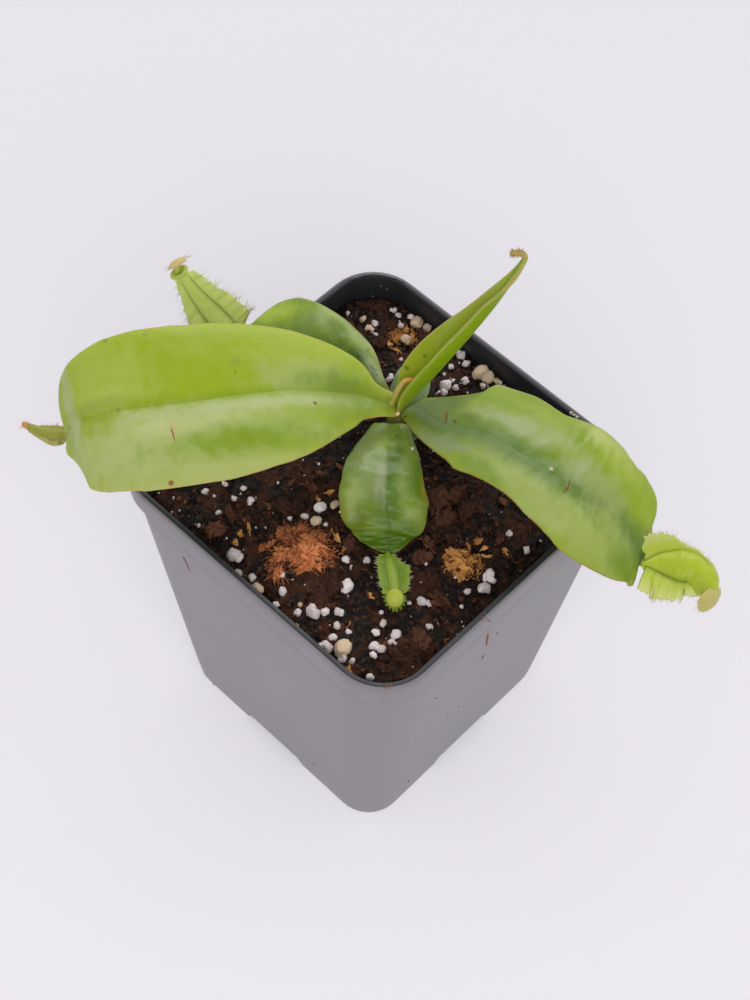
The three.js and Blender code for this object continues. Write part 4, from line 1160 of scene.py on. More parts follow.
def leaf_skin(name, leaf, piece):
    """The skin of one leaf: its halves, blotches, painted sheen and shade, midrib, base, tip, margin and
    blemishes.
    """
    made, tree, shader = new_material(name, 0.45, 0.3, {
        "Subsurface Weight": 0.10, "Subsurface Radius": (0.5, 1.0, 0.15), "Subsurface Scale": 0.0006,
    })
    seed = leaf["seed"]
    along, rib, margin = [stored(tree, held) for held in ("along", "rib", "margin")]
    away = (node(tree, "Math", {0: rib}, operation="ABSOLUTE"), 0)
    clouds = patch_mask(tree, 0.0024, 0.45, 0.3, seed + 4)
    colour = two_tone(tree, ramp_of(tree, rib, -0.0003, 0.0003), srgb(*leaf["left"]), srgb(*leaf["right"]))
    for mask, tint, strength in (
        (patch_mask(tree, leaf["blotch_size"], 0.5, 0.22, seed), "blotch", leaf["blotch_strength"]),
        (clouds, "cloud", 0.2),
        (patch_mask(tree, 0.0008, 0.45, 0.3, seed + 6), "cell", 0.2),
        (ramp_of(tree, away, 0, leaf["rib_zone"], 1, 0), "zone", leaf["zone_strength"]),
        (ramp_of(tree, away, 0.00008, 0.00042, 1, 0), "rib", leaf["rib_strength"]),
        (ramp_of(tree, along, leaf["base_until"] * 0.3, leaf["base_until"], 1, 0), "base", 0.75),
        (ramp_of(tree, along, leaf["tip_from"], leaf["tip_from"] + leaf["tip_reach"]), "tip", 0.8),
        (ramp_of(tree, margin, 0.0002, leaf["border"], 1, 0), "border_colour", 0.55),
    ):
        colour = laid_on(tree, mask, colour, leaf[tint], strength)
    streaks = vector_sum(tree, "MULTIPLY", stored(tree, "laid_flat", "Vector"), PAINTED_LIGHT_STREAKS)
    ragged = node(tree, "TexNoise", {"Vector": streaks, "Scale": 1.0, "Detail": 4.0, "Roughness": 0.6})
    uneven = ramp_of(tree, (ragged, 0), 0.25, 0.75, -0.3, 0.3)
    # Soft patches of painted sheen and painted shade, laid over the blade's own colours.
    for column, row, half_length, half_width, tint, strength in leaf["painted_light_patches"]:
        middle = flat_at(piece, column, row)
        half = (MM * half_length, MM * half_width, 1)
        painted_light = use_group(tree, painted_light_group, Middle=middle, Half=half, Uneven=uneven)
        colour = laid_on(tree, (painted_light, "Mask"), colour, tint, strength)
    rim = ramp_of(tree, margin, 0.00008, 0.0003, 1, 0)
    broken = calculated(tree, "MULTIPLY", rim, patch_mask(tree, 0.003, 0.75, 0.12, seed + 8))
    colour = laid_on(tree, broken, colour, leaf["margin"], 0.85)
    for column, row, reach, tint in leaf["spots"]:
        mark = use_group(tree, spot_group, Place=seen_on(piece, column, row)[0], Reach=MM * reach)
        colour = laid_on(tree, (mark, "Mask"), colour, tint, 0.85)
    pores = use_group(tree, grain, Size=0.00042, Depth=0.000016, Roundness=0.5)
    where = node(tree, "TexCoord")
    swells = node(tree, "TexNoise", {"Vector": (where, "Object"), "Scale": 420.0, "Detail": 3.0})
    relief = node(tree, "Bump", {
        "Strength": 0.8, "Distance": 0.00021, "Height": (swells, 0), "Normal": (pores, "Normal"),
    })
    gloss = ramp_of(tree, clouds, 0, 1, leaf["gloss"], leaf["gloss"] + 0.14)
    wire(tree, shader, {"Base Color": colour, "Roughness": gloss, "Normal": (relief, "Normal")})
    return made


# What most leaves share. A leaf's own values go before these.
COMMON_LEAF = {
    "ragged": 1, "rib_round": 0.0001, "pucker": 0, "blotch_strength": 0.35, "base_until": 0.2,
    "tip_reach": 0.1, "gloss": 0.4, "painted_light_patches": [], "spots": [], "crinkle": 0.0004, "blister": 0.00012,
    "zone_strength": 0.6, "rib_strength": 0.5, "tip_from": 0.84,
}
BROWN_SPOT = (104, 76, 26)
RED_SPOT = (140, 66, 40)
# The names of a leaf's screen colours, in the order of its tints.
LEAF_TINTS = (
    "right", "left", "blotch", "cloud", "cell", "zone", "rib", "base", "tip", "border_colour", "margin",
)
# A leaf's stations run along its midrib from the stem to the tendril's end. Each is a place and the half
# widths to the right and to the left, in millimetres, and then the turns of both halves in degrees, if any.
# A painted light patch is a pixel, its half length and half width in millimetres, its screen colour and its
# strength. Most pale ones are painted sheen, some deep ones are painted shade, and the rest are the blade's
# own colours. A spot is a pixel, its reach in millimetres and its screen colour. "ragged" tears the margin,
# "crinkle" and "pucker" fold the blade finely, "blister" raises it between the veins, and "rib_round" eases
# its fold.
LEAVES = {
    "leaf_left": {
        "seed": 3.0, "length": 0.082, "rows": 190, "fold": (16, 14), "curl": (-22, -26), "waves": 2.5,
        "wave_height": 0.0004, "blister": 0.00026, "pucker": 0.00008, "blotch_strength": 0.4,
        "blotch_size": 0.016, "rib_zone": 0.0024, "zone_strength": 0.45, "rib_strength": 0.1,
        "border": 0.0034,
        "stations": [
            (-4.7, 9.7, 87.3, 3, 2.2), (-8, 6.6, 89.5, 4.2, 4.2), (-11.3, 3.3, 91.5, 9.4, 7.5),
            (-16.6, -4.9, 95.5, 13.6, 13.4), (-22.3, -15.2, 98.6, 15.8, 17),
            (-27.8, -25.5, 100.4, 16.4, 17.7, 2), (-34.2, -34.1, 100.6, 15.5, 17.3, 6),
            (-38.8, -40.2, 98.9, 12.7, 14.6, 6, -3), (-40.9, -42.7, 95.5, 10.6, 6.6, -3, 10),
            (-41.6, -42.1, 91.5, 6.6, 2.4, 5, 26), (-42.8, -41, 88, 0.6, 0.6), (-44.8, -40.2, 86, 0.6, 0.6),
        ],
        "tints": [
            (148, 170, 18), (144, 164, 44), (140, 163, 14), (156, 174, 42), (158, 174, 50), (126, 150, 24),
            (116, 140, 44), (124, 144, 44), (158, 172, 84), (170, 182, 58), (190, 158, 96),
        ],
        "painted_light_patches": [
            (100, 376, 9, 8, (168, 184, 84), 0.65), (106, 398, 9, 2.4, (174, 188, 84), 0.55),
            (300, 381, 6, 1.8, (170, 182, 106), 0.6), (312, 430, 5, 2.6, (168, 176, 106), 0.7),
            (70, 412, 2.6, 15, (172, 178, 128), 0.8), (306, 371, 8, 5, (162, 176, 100), 0.7),
            (330, 350, 6, 3, (160, 178, 50), 0.5), (140, 450, 20, 8.5, (174, 184, 118), 0.85),
            (176, 422, 9, 5, (180, 187, 122), 0.6), (240, 470, 20, 4, (170, 180, 104), 0.8),
            (236, 404, 24, 1.8, (166, 178, 112), 0.9), (340, 416, 4, 3, (132, 154, 40), 0.6),
            (250, 434, 12.5, 4.2, (124, 150, 12), 1.0), (345, 387, 8, 3.6, (108, 134, 34), 0.8),
            (362, 408, 6, 4, (118, 144, 40), 0.75), (172, 431, 0.4, 1.8, (190, 148, 108), 0.6),
            (92, 404, 9, 1.4, (134, 154, 62), 0.5),
        ],
        "spots": [
            (171, 483, 0.6, RED_SPOT), (315, 403, 0.5, BROWN_SPOT), (105, 341, 0.6, (130, 150, 48)),
            (145, 335, 0.6, (132, 156, 44)), (118, 410, 0.6, (126, 148, 50)),
            (235, 361, 1.2, (140, 160, 44)),
        ],
    },
    "leaf_right": {
        "seed": 17.0, "length": 0.062, "rows": 170, "fold": (10, 12), "curl": (-24, -28), "waves": 4,
        "wave_height": 0.0003, "crinkle": 0.0006, "blister": 0.0003, "pucker": 0.00036, "rib_round": 0.003,
        "base_until": 0.16, "blotch_size": 0.007, "rib_zone": 0.0068, "zone_strength": 0.9,
        "rib_strength": 0.08, "tip_from": 0.86, "border": 0.0036,
        "stations": [
            (-3, 12.5, 86.8, 3.2, 3.6), (6.3, 11.2, 91, 5.8, 15.1), (14.2, 13.1, 94.4, 10.4, 15.4),
            (23.2, 14.2, 95.6, 9.8, 15.1), (31.2, 15.4, 94.8, 10.9, 16.9),
            (37.9, 17.2, 92.8, 13.7, 16.8, 2, 2), (44.1, 18.4, 89.8, 11.6, 15.1, 6, 6),
            (48.6, 19.2, 86.4, 8, 14.6, 24, 18), (50.3, 19, 84.6, 6, 10, 42, 22),
            (51.2, 18.8, 83.6, 0.6, 0.6),
        ],
        "tints": [
            (138, 160, 50), (134, 156, 34), (120, 146, 28), (148, 164, 70), (150, 164, 78), (88, 118, 46),
            (80, 106, 46), (88, 106, 48), (118, 144, 30), (150, 166, 52), (146, 122, 54),
        ],
        "painted_light_patches": [
            (486, 412, 4, 2, (142, 158, 96), 0.55), (520, 424, 8, 2.4, (152, 164, 110), 0.8),
            (556, 438, 7, 2.4, (150, 162, 98), 0.65), (581, 466, 3.4, 4.4, (158, 169, 116), 0.75),
            (604, 492, 7, 5, (154, 167, 102), 0.65), (440, 442, 4, 2.4, (138, 152, 108), 0.8),
            (460, 448, 3.4, 1.8, (144, 158, 110), 0.7), (548, 508, 13, 5.2, (160, 172, 100), 0.75),
            (590, 540, 11, 4.6, (156, 171, 84), 0.6), (604, 438, 7, 3, (184, 194, 112), 0.75),
            (626, 470, 7, 3.6, (166, 184, 68), 0.55), (612, 528, 6, 3, (150, 168, 82), 0.8),
            (450, 401, 4.4, 2.4, (84, 110, 20), 0.7), (500, 401, 10, 2, (120, 146, 26), 0.6),
            (536, 412, 7, 1.4, (144, 162, 30), 0.6), (540, 404, 10, 2.4, (130, 154, 24), 0.7),
            (644, 505, 8, 5, (142, 166, 32), 0.8), (640, 562, 4, 6, (54, 86, 4), 0.95),
            (482, 468, 6, 2.6, (112, 140, 22), 0.8), (626, 571, 5, 3.6, (106, 134, 4), 0.85),
            (466, 418, 3, 1.4, (92, 118, 36), 0.6), (528, 398, 2.4, 1.2, (122, 146, 26), 0.6),
        ],
        "spots": [
            (551, 469, 0.5, (206, 200, 160)), (405, 417, 0.5, BROWN_SPOT),
        ],
    },
    "leaf_front": {
        "seed": 29.0, "length": 0.029, "rows": 130, "ragged": 4.5, "fold": (9, 9), "curl": (-30, -30),
        "waves": 4.5, "wave_height": 0.00035, "crinkle": 0.0012, "blister": 0.00046, "pucker": 0.00062,
        "rib_round": 0.0014, "base_until": 0.26, "tip_reach": 0.12, "gloss": 0.27, "blotch_size": 0.005,
        "rib_zone": 0.0018, "zone_strength": 0.7, "rib_strength": 0.4, "tip_from": 0.56, "border": 0.0012,
        "stations": [
            (-4, 8, 84.2, 4, 3.4), (0.7, 2.4, 86, 7.5, 5.6), (5.2, -3, 86.6, 9.1, 7),
            (8.7, -6.9, 85.2, 9.4, 8.3), (11.4, -9.2, 82.8, 8, 7.3), (12.7, -10.4, 80.8, 5.8, 5),
            (13.6, -11.3, 79.6, 3.4, 2.6), (14.1, -11.9, 79, 1, 1),
        ],
        "tints": [
            (106, 134, 28), (104, 132, 26), (112, 136, 16), (122, 144, 46), (126, 146, 54), (78, 108, 38),
            (62, 92, 28), (156, 182, 82), (68, 102, 2), (124, 142, 50), (128, 108, 50),
        ],
        "painted_light_patches": [
            (360, 445, 6, 4, (132, 156, 74), 0.6), (366, 478, 7, 4.4, (136, 154, 94), 0.8),
            (352, 500, 3.4, 2.6, (160, 170, 96), 0.7), (380, 488, 5, 1.4, (152, 164, 124), 0.85),
            (396, 460, 6, 1.8, (78, 110, 28), 0.8), (402, 488, 3.6, 2.6, (140, 160, 88), 0.7),
            (416, 480, 2.6, 2, (86, 116, 26), 0.6), (415, 514, 3.4, 2.4, (154, 170, 88), 0.85),
            (416, 446, 5, 2.4, (140, 164, 74), 0.6), (366, 512, 2.6, 3, (100, 124, 20), 0.8),
            (381, 512, 3.6, 1.2, (84, 114, 24), 0.8), (360, 528, 4, 3.4, (92, 114, 8), 0.85),
            (394, 505, 5, 1.4, (78, 112, 24), 0.7), (406, 531, 3.4, 3, (82, 110, 10), 0.8),
            (345, 513, 2, 1, (134, 124, 40), 0.5), (427, 488, 4, 0.8, (152, 128, 52), 0.75),
        ],
    },
    "leaf_back": {
        "seed": 41.0, "length": 0.043, "rows": 130, "fold": (1, 1), "curl": (-14, -14), "waves": 2.5,
        "wave_height": 0.0004, "crinkle": 0.0006, "blister": 0.00022, "pucker": 0.0003, "rib_round": 0.002,
        "gloss": 0.34, "blotch_size": 0.006, "rib_zone": 0.0034, "zone_strength": 0.15, "rib_strength": 0,
        "border": 0.0016,
        "stations": [
            (-7.3, 10.6, 82.6, 2.2, 2.4), (-12.6, 12.2, 85.4, 2, 5), (-18.6, 13, 87.4, 4.2, 6),
            (-24.4, 12, 88.4, 5.7, 7), (-30, 9.8, 88.2, 7.3, 8), (-35, 7.2, 86.6, 8.4, 8),
            (-39.4, 5, 84.2, 5.3, 5.6), (-42.2, 4.2, 81, 0.8, 0.8), (-43.6, 4.2, 78.2, 0.6, 0.6),
        ],
        "tints": [
            (126, 152, 44), (100, 126, 32), (110, 140, 30), (134, 150, 66), (138, 152, 74), (90, 118, 50),
            (80, 106, 48), (100, 118, 66), (108, 132, 46), (134, 150, 66), (176, 140, 92),
        ],
        "painted_light_patches": [
            (318, 320, 5, 2.4, (148, 164, 104), 0.75), (330, 313, 4.4, 1.8, (150, 166, 92), 0.7),
            (345, 335, 4.4, 3, (92, 120, 32), 0.8), (352, 356, 4.4, 2.6, (86, 112, 26), 0.75),
            (362, 344, 3.4, 2.4, (146, 164, 92), 0.85), (362, 366, 4.4, 3, (58, 92, 18), 0.9),
            (374, 368, 3, 1.4, (168, 178, 130), 0.85), (352, 330, 2, 1.2, (150, 166, 96), 0.7),
            (298, 322, 5, 4, (100, 128, 48), 0.6), (275, 312, 6, 4, (166, 190, 54), 0.8),
            (292, 308, 4, 1.6, (152, 174, 62), 0.6),
        ],
    },
    "leaf_young": {
        "seed": 53.0, "length": 0.048, "rows": 150, "fold": (35, 20), "curl": (75, 45), "waves": 0,
        "wave_height": 0, "crinkle": 0.0003, "base_until": 0.16, "tip_reach": 0.06, "gloss": 0.42,
        "blotch_size": 0.01, "rib_zone": 0.0009, "zone_strength": 0.5, "tip_from": 0.75, "border": 0.0007,
        "stations": [
            (-4.4, 10.2, 87.4, 1.8, 1.8), (-2, 13.8, 94, 4.2, 5.5), (0.9, 18.1, 103, 4.3, 5.6),
            (3.7, 22.4, 112.4, 3.2, 3.4), (5.8, 25.8, 120.6, 1.9, 1.7), (6.8, 27.7, 125.2, 1, 0.8),
            (7.1, 28.6, 127.4, 0.6, 0.6), (6.4, 28.1, 128.6, 0.7, 0.7), (4.9, 26.8, 128.2, 0.5, 0.5),
        ],
        "tints": [
            (126, 154, 8), (152, 170, 18), (134, 156, 10), (148, 166, 30), (150, 168, 34), (124, 146, 20),
            (112, 134, 22), (140, 158, 32), (176, 122, 62), (164, 172, 84), (176, 160, 84),
        ],
        "painted_light_patches": [
            (486, 300, 6, 1.2, (156, 160, 92), 0.3), (455, 318, 5, 1.4, (166, 174, 84), 0.6),
            (400, 380, 4, 3, (166, 178, 44), 0.7),
        ],
        "spots": [
            (407, 368, 0.6, (116, 106, 26)), (425, 356, 0.5, (116, 120, 22)),
        ],
    },
    "leaf_low_back": {
        "seed": 61.0, "length": 0.014, "rows": 60, "fold": (14, 14), "curl": (-20, -20), "waves": 1.5,
        "wave_height": 0.00025, "blotch_strength": 0.5, "blotch_size": 0.004, "rib_zone": 0.001,
        "tip_from": 0.8, "border": 0.0008,
        "stations": [
            (-5.8, 12.2, 80.2, 1.8, 1.8), (-7.2, 15.4, 82.2, 3.8, 3.6), (-8.8, 18.6, 83, 4, 3.6),
            (-10.8, 21.4, 82.8, 2.8, 2.6), (-12.2, 23.2, 82, 0.6, 0.6),
        ],
        "tints": [
            (108, 132, 84), (108, 132, 84), (96, 124, 66), (134, 150, 116), (136, 150, 110), (90, 116, 60),
            (78, 106, 50), (100, 122, 70), (100, 122, 62), (130, 146, 86), (150, 140, 80),
        ],
    },
    "leaf_low_right": {
        "seed": 67.0, "length": 0.015, "rows": 60, "fold": (12, 12), "curl": (-20, -20), "waves": 1.5,
        "wave_height": 0.00025, "blotch_strength": 0.5, "blotch_size": 0.004, "rib_zone": 0.001,
        "tip_from": 0.8, "border": 0.0008,
        "stations": [
            (-3.2, 11.5, 78.4, 1.6, 1.4), (-0.6, 14.6, 80.8, 3.4, 3), (1.6, 18, 82.2, 3.8, 3.8),
            (4.6, 20.6, 81.8, 2.8, 2.8), (6.6, 22, 80.8, 0.6, 0.6),
        ],
        "tints": [
            (70, 96, 40), (70, 96, 40), (58, 84, 32), (86, 108, 56), (90, 110, 60), (54, 80, 30),
            (48, 74, 26), (80, 100, 46), (76, 98, 40), (106, 128, 66), (150, 150, 90),
        ],
    },
}
leaf_pieces = {}
for name, own in LEAVES.items():
    leaf = {**COMMON_LEAF, **own, **dict(zip(LEAF_TINTS, own["tints"]))}
    leaf_piece = blade(name + "_blade", leaf)
    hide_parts(name)
    dress(leaf_piece, leaf_skin(name + "_skin", leaf, leaf_piece))
    leaf_pieces[name] = leaf_piece

# ---------------------------------------------------------------- leaf bud
# The next leaf, still rolled into a soft tan rod, with its orange tip bent over.
BUD_STATIONS = [
    (-0.0049, 0.0082, 0.0899, 0.00060), (-0.0048, 0.0094, 0.0925, 0.00058),
    (-0.0045, 0.0108, 0.0947, 0.00050), (-0.0040, 0.0114, 0.0956, 0.00045),
    (-0.0030, 0.0123, 0.0959, 0.00030),
]
BUD_RINGS = 50
BUD_SIDES = 20


def round_rings(stations, rings, sides, first_across=None, uneven=0.0, seed=0.0):
    """Rings round a line of stations that hold a radius, with the frames that they stand in."""
    frames = frames_along(stations, rings, first_across)
    made = []
    for step, (values, point, _, across, up) in enumerate(frames):
        ring = []
        for side in range(sides):
            angle = 2 * math.pi * side / sides
            place = Vector((math.cos(angle), math.sin(angle), seed + 6 * step / rings))
            away = values[3] * (1 + uneven * noise.fractal(place, 1, 2, 3))
            ring.append(point + across * (away * math.cos(angle)) + up * (away * math.sin(angle)))
        made.append(ring)
    return made, frames


def rounded_end(ring, middle, outward, reach, steps=4):
    """Smaller and smaller rings that close a round end, from the ring out to the end's tip."""
    made = []
    for step in range(1, steps + 1):
        angle = math.radians(88 * step / steps)
        made.append([
            middle + (Vector(point) - middle) * math.cos(angle) + outward * (reach * math.sin(angle))
            for point in ring
        ])
    return made


rings, frames = round_rings(BUD_STATIONS, BUD_RINGS, BUD_SIDES, uneven=0.08, seed=3)
_, end_point, end_tangent, _, _ = frames[-1]
rings += rounded_end(rings[-1], end_point, end_tangent, 0.0003)
rolled_bud = lofted("rolled_bud", rings)
store(rolled_bud, "along", [ring / (len(rings) - 1) for ring in range(len(rings)) for _ in range(BUD_SIDES)])
bud_skin, tree, shader = new_material("bud_skin", 0.5, 0.4)
along = stored(tree, "along")
colour = two_tone(tree, ramp_of(tree, along, 0.1, 0.6), srgb(164, 158, 72), srgb(202, 166, 88))
colour = laid_on(tree, ramp_of(tree, along, 0.62, 0.78), colour, (216, 150, 56))
rough = use_group(tree, grain, Size=0.0004, Depth=0.00004, Roundness=0.6)
wire(tree, shader, {"Base Color": colour, "Normal": (rough, "Normal")})
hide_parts("leaf_bud")
dress(rolled_bud, bud_skin)

# ---------------------------------------------------------------- stray bits
# Dry fibres, crumbs of peat and drops of water lie on the leaves, on the pot's lip and on its walls, and a
# cream bead of sap stands at the crown. Each is placed by its pixel and rests on what it lies on.
# A fibre is the piece that it lies on, its radius and its pixels.
FIBRE_BITS = [
    ("leaf_right", 0.00014, [(446, 411), (447, 415), (446, 420), (445, 424)]),
    ("leaf_right", 0.00012, [(570, 480), (569, 485), (567, 489), (563, 492)]),
    ("leaf_right", 0.00009, [(453, 420), (456, 422), (458, 425)]),
    ("leaf_left", 0.00008, [(171, 428), (173, 434), (175, 441)]),
    ("pot", 0.00010, [(480, 617), (484, 618), (488, 620), (491, 622)]),
    ("pot", 0.00016, [(488, 633), (487, 639), (486, 646)]),
    ("pot", 0.00010, [(483, 655), (482, 659)]),
    ("pot", 0.00012, [(388, 683), (386, 688), (386, 694)]),
    ("pot", 0.00012, [(392, 685), (391, 687), (390, 689)]),
    ("pot", 0.00009, [(183, 556), (187, 564), (190, 571)]),
]
# A speck, a crumb or a drop is the piece that it rests on, its pixel, and its radius in millimetres.
SPECKS = [
    ("pot", 488, 611, 0.18), ("pot", 497, 633, 0.16), ("pot", 541, 619, 0.14), ("pot", 526, 576, 0.2),
    ("pot", 436, 698, 0.15), ("pot", 458, 706, 0.15), ("pot", 447, 717, 0.13), ("pot", 408, 781, 0.16),
    ("pot", 214, 684, 0.2), ("pot", 314, 764, 0.14), ("leaf_right", 455, 422, 0.16),
    ("leaf_left", 235, 372, 0.12),
]
PALE_CRUMBS = [
    ("pot", 571, 413, 0.42), ("pot", 574, 415, 0.36), ("pot", 577, 417, 0.45),
    ("leaf_front", 412, 449, 0.42), ("leaf_right", 551, 469, 0.34), ("leaf_front", 340, 512, 0.22),
    ("pot", 381, 286, 0.16), ("pot", 387, 289, 0.14), ("pot", 373, 296, 0.12),
]
DROPS = [
    ("leaf_back", 360, 355, 0.4), ("leaf_back", 368, 350, 0.28), ("leaf_back", 374, 370, 0.62),
    ("leaf_back", 371, 366, 0.34), ("leaf_back", 377, 375, 0.3),
]
# A scrap of torn flash along the moulded lip: its pixels, and its radius at each.
FLASH = [(349, 281), (356, 278), (362, 276), (370, 275), (379, 275), (388, 277), (396, 279), (404, 283)]
FLASH_SIZES = [0.00008, 0.00030, 0.00014, 0.00034, 0.00018, 0.00036, 0.00026, 0.00010]
SAP_BEAD = (-0.0026, 0.0078, 0.0893)
SAP_SIZES = (0.00048, 0.00044, 0.00040)
FIBRE_PROFILE = [0.4, 0.8, 1, 0.9, 1, 0.8, 1, 0.9, 0.8, 0.6, 0.3]

bit_bases = dict(leaf_pieces, pot=nursery_pot)
fibre_bits = []
for base_name, radius, pixels in FIBRE_BITS:
    line = []
    for column, row in pixels:
        place, normal = seen_on(bit_bases[base_name], column, row)
        line.append(place + normal * (0.8 * radius))
    line = [between([tuple(point) for point in line], step / 10) for step in range(11)]
    tone = 0.35 + 0.6 * (len(fibre_bits) % 3) / 3
    fibre_bits.append((line, [radius * share for share in FIBRE_PROFILE], tone))
fibre_red = toned_material("fibre_red", srgb(104, 52, 34), srgb(176, 104, 62), 0.7, 0.00004, 0.0003)
dress(strands_piece("fibre_bits", fibre_bits, 8), fibre_red)
flash_line = [seen_on(nursery_pot, column, row)[0] for column, row in FLASH]
dress(strands_piece("torn_flash", [(flash_line, FLASH_SIZES, 0.5)], 8), pot_plastic)


def resting(places, flat):
    """Lumps that rest on pieces at pixels of the photograph."""
    made = []
    for base_name, column, row, size in places:
        radius = MM * size
        place, normal = seen_on(bit_bases[base_name], column, row)
        made.append((place + normal * (0.4 * radius), (radius, 0.8 * radius, flat * radius), 0.6))
    return made


rng = random.Random(77)
crumb_dark = toned_material("crumb_dark", srgb(24, 18, 16), srgb(58, 40, 30), 0.8, 0.00004, 0.0003)
dress(lumps_piece("specks", resting(SPECKS, 0.7), 2, 0.6, rng), crumb_dark)
crumb_pale = toned_material("crumb_pale", srgb(196, 180, 140), srgb(232, 224, 206), 0.7, 0.00006, 0.0003)
dress(lumps_piece("pale_crumbs", resting(PALE_CRUMBS, 0.8), 3, 0.5, rng, 5), crumb_pale)
water, _, _ = new_material("water_drop", 0.03, 0.8, {
    "Base Color": srgb(214, 226, 202), "Transmission Weight": 0.8, "IOR": 1.33,
})
dress(lumps_piece("drops", resting(DROPS, 0.8), 3, 0.08, rng), water)
sap, _, _ = new_material("sap", 0.3, 0.5, {"Base Color": srgb(226, 196, 140)})
dress(lumps_piece("sap_bead", [(SAP_BEAD, SAP_SIZES, 1)], 3, 0.12, rng), sap)

rng = random.Random(91)
hook = leaf_pieces["leaf_young"]
hook_along = hook.data.attributes["along"].data
hook_roots = [vertex for vertex in hook.data.vertices if 0.84 < hook_along[vertex.index].value < 0.99]
hook_hairs = []
for vertex in rng.sample(hook_roots, 70):
    way = (vertex.normal + Vector([rng.gauss(0, 0.5) for _ in range(3)])).normalized()
    length = rng.uniform(0.0003, 0.0007)
    line = [vertex.co + way * (length * share) for share in (-0.1, 0.3, 0.7, 1)]
    hook_hairs.append((line, [0.00004, 0.00004, 0.00003, 0.00001], rng.random()))
hook_hair = toned_material("hook_hair", srgb(140, 82, 46), srgb(206, 150, 96), 0.6, 0.00001, 0.0003)
dress(strands_piece("hook_hairs", hook_hairs, 4), hook_hair)

# ---------------------------------------------------------------- pitchers
# Four pitchers, each on the end of a tendril. The body is a fleshy tube with two thin frilled wings down its
# front, and a lid over its mouth. All are young: only the back one is just opening, with a ribbed mouth ring.
# What most pitchers share. A pitcher's own values go before these.
COMMON_PITCHER = {
    "wing_curl": 0.1, "pleats": 0.05, "frill": 0.3, "sweep": {1: (0, 0), -1: (0, 0)},
    "wing_end": {1: 1, -1: 1}, "band": (0, 10, 0.9, 1.0), "mouth_depth": 0, "lid_teeth": 0,
}
# The names of a pitcher's screen colours, in the order of its tints.
PITCHER_TINTS = ("body", "shade", "wing", "crease_shade", "edge", "lid_colour", "lid_shade", "lid_rim")
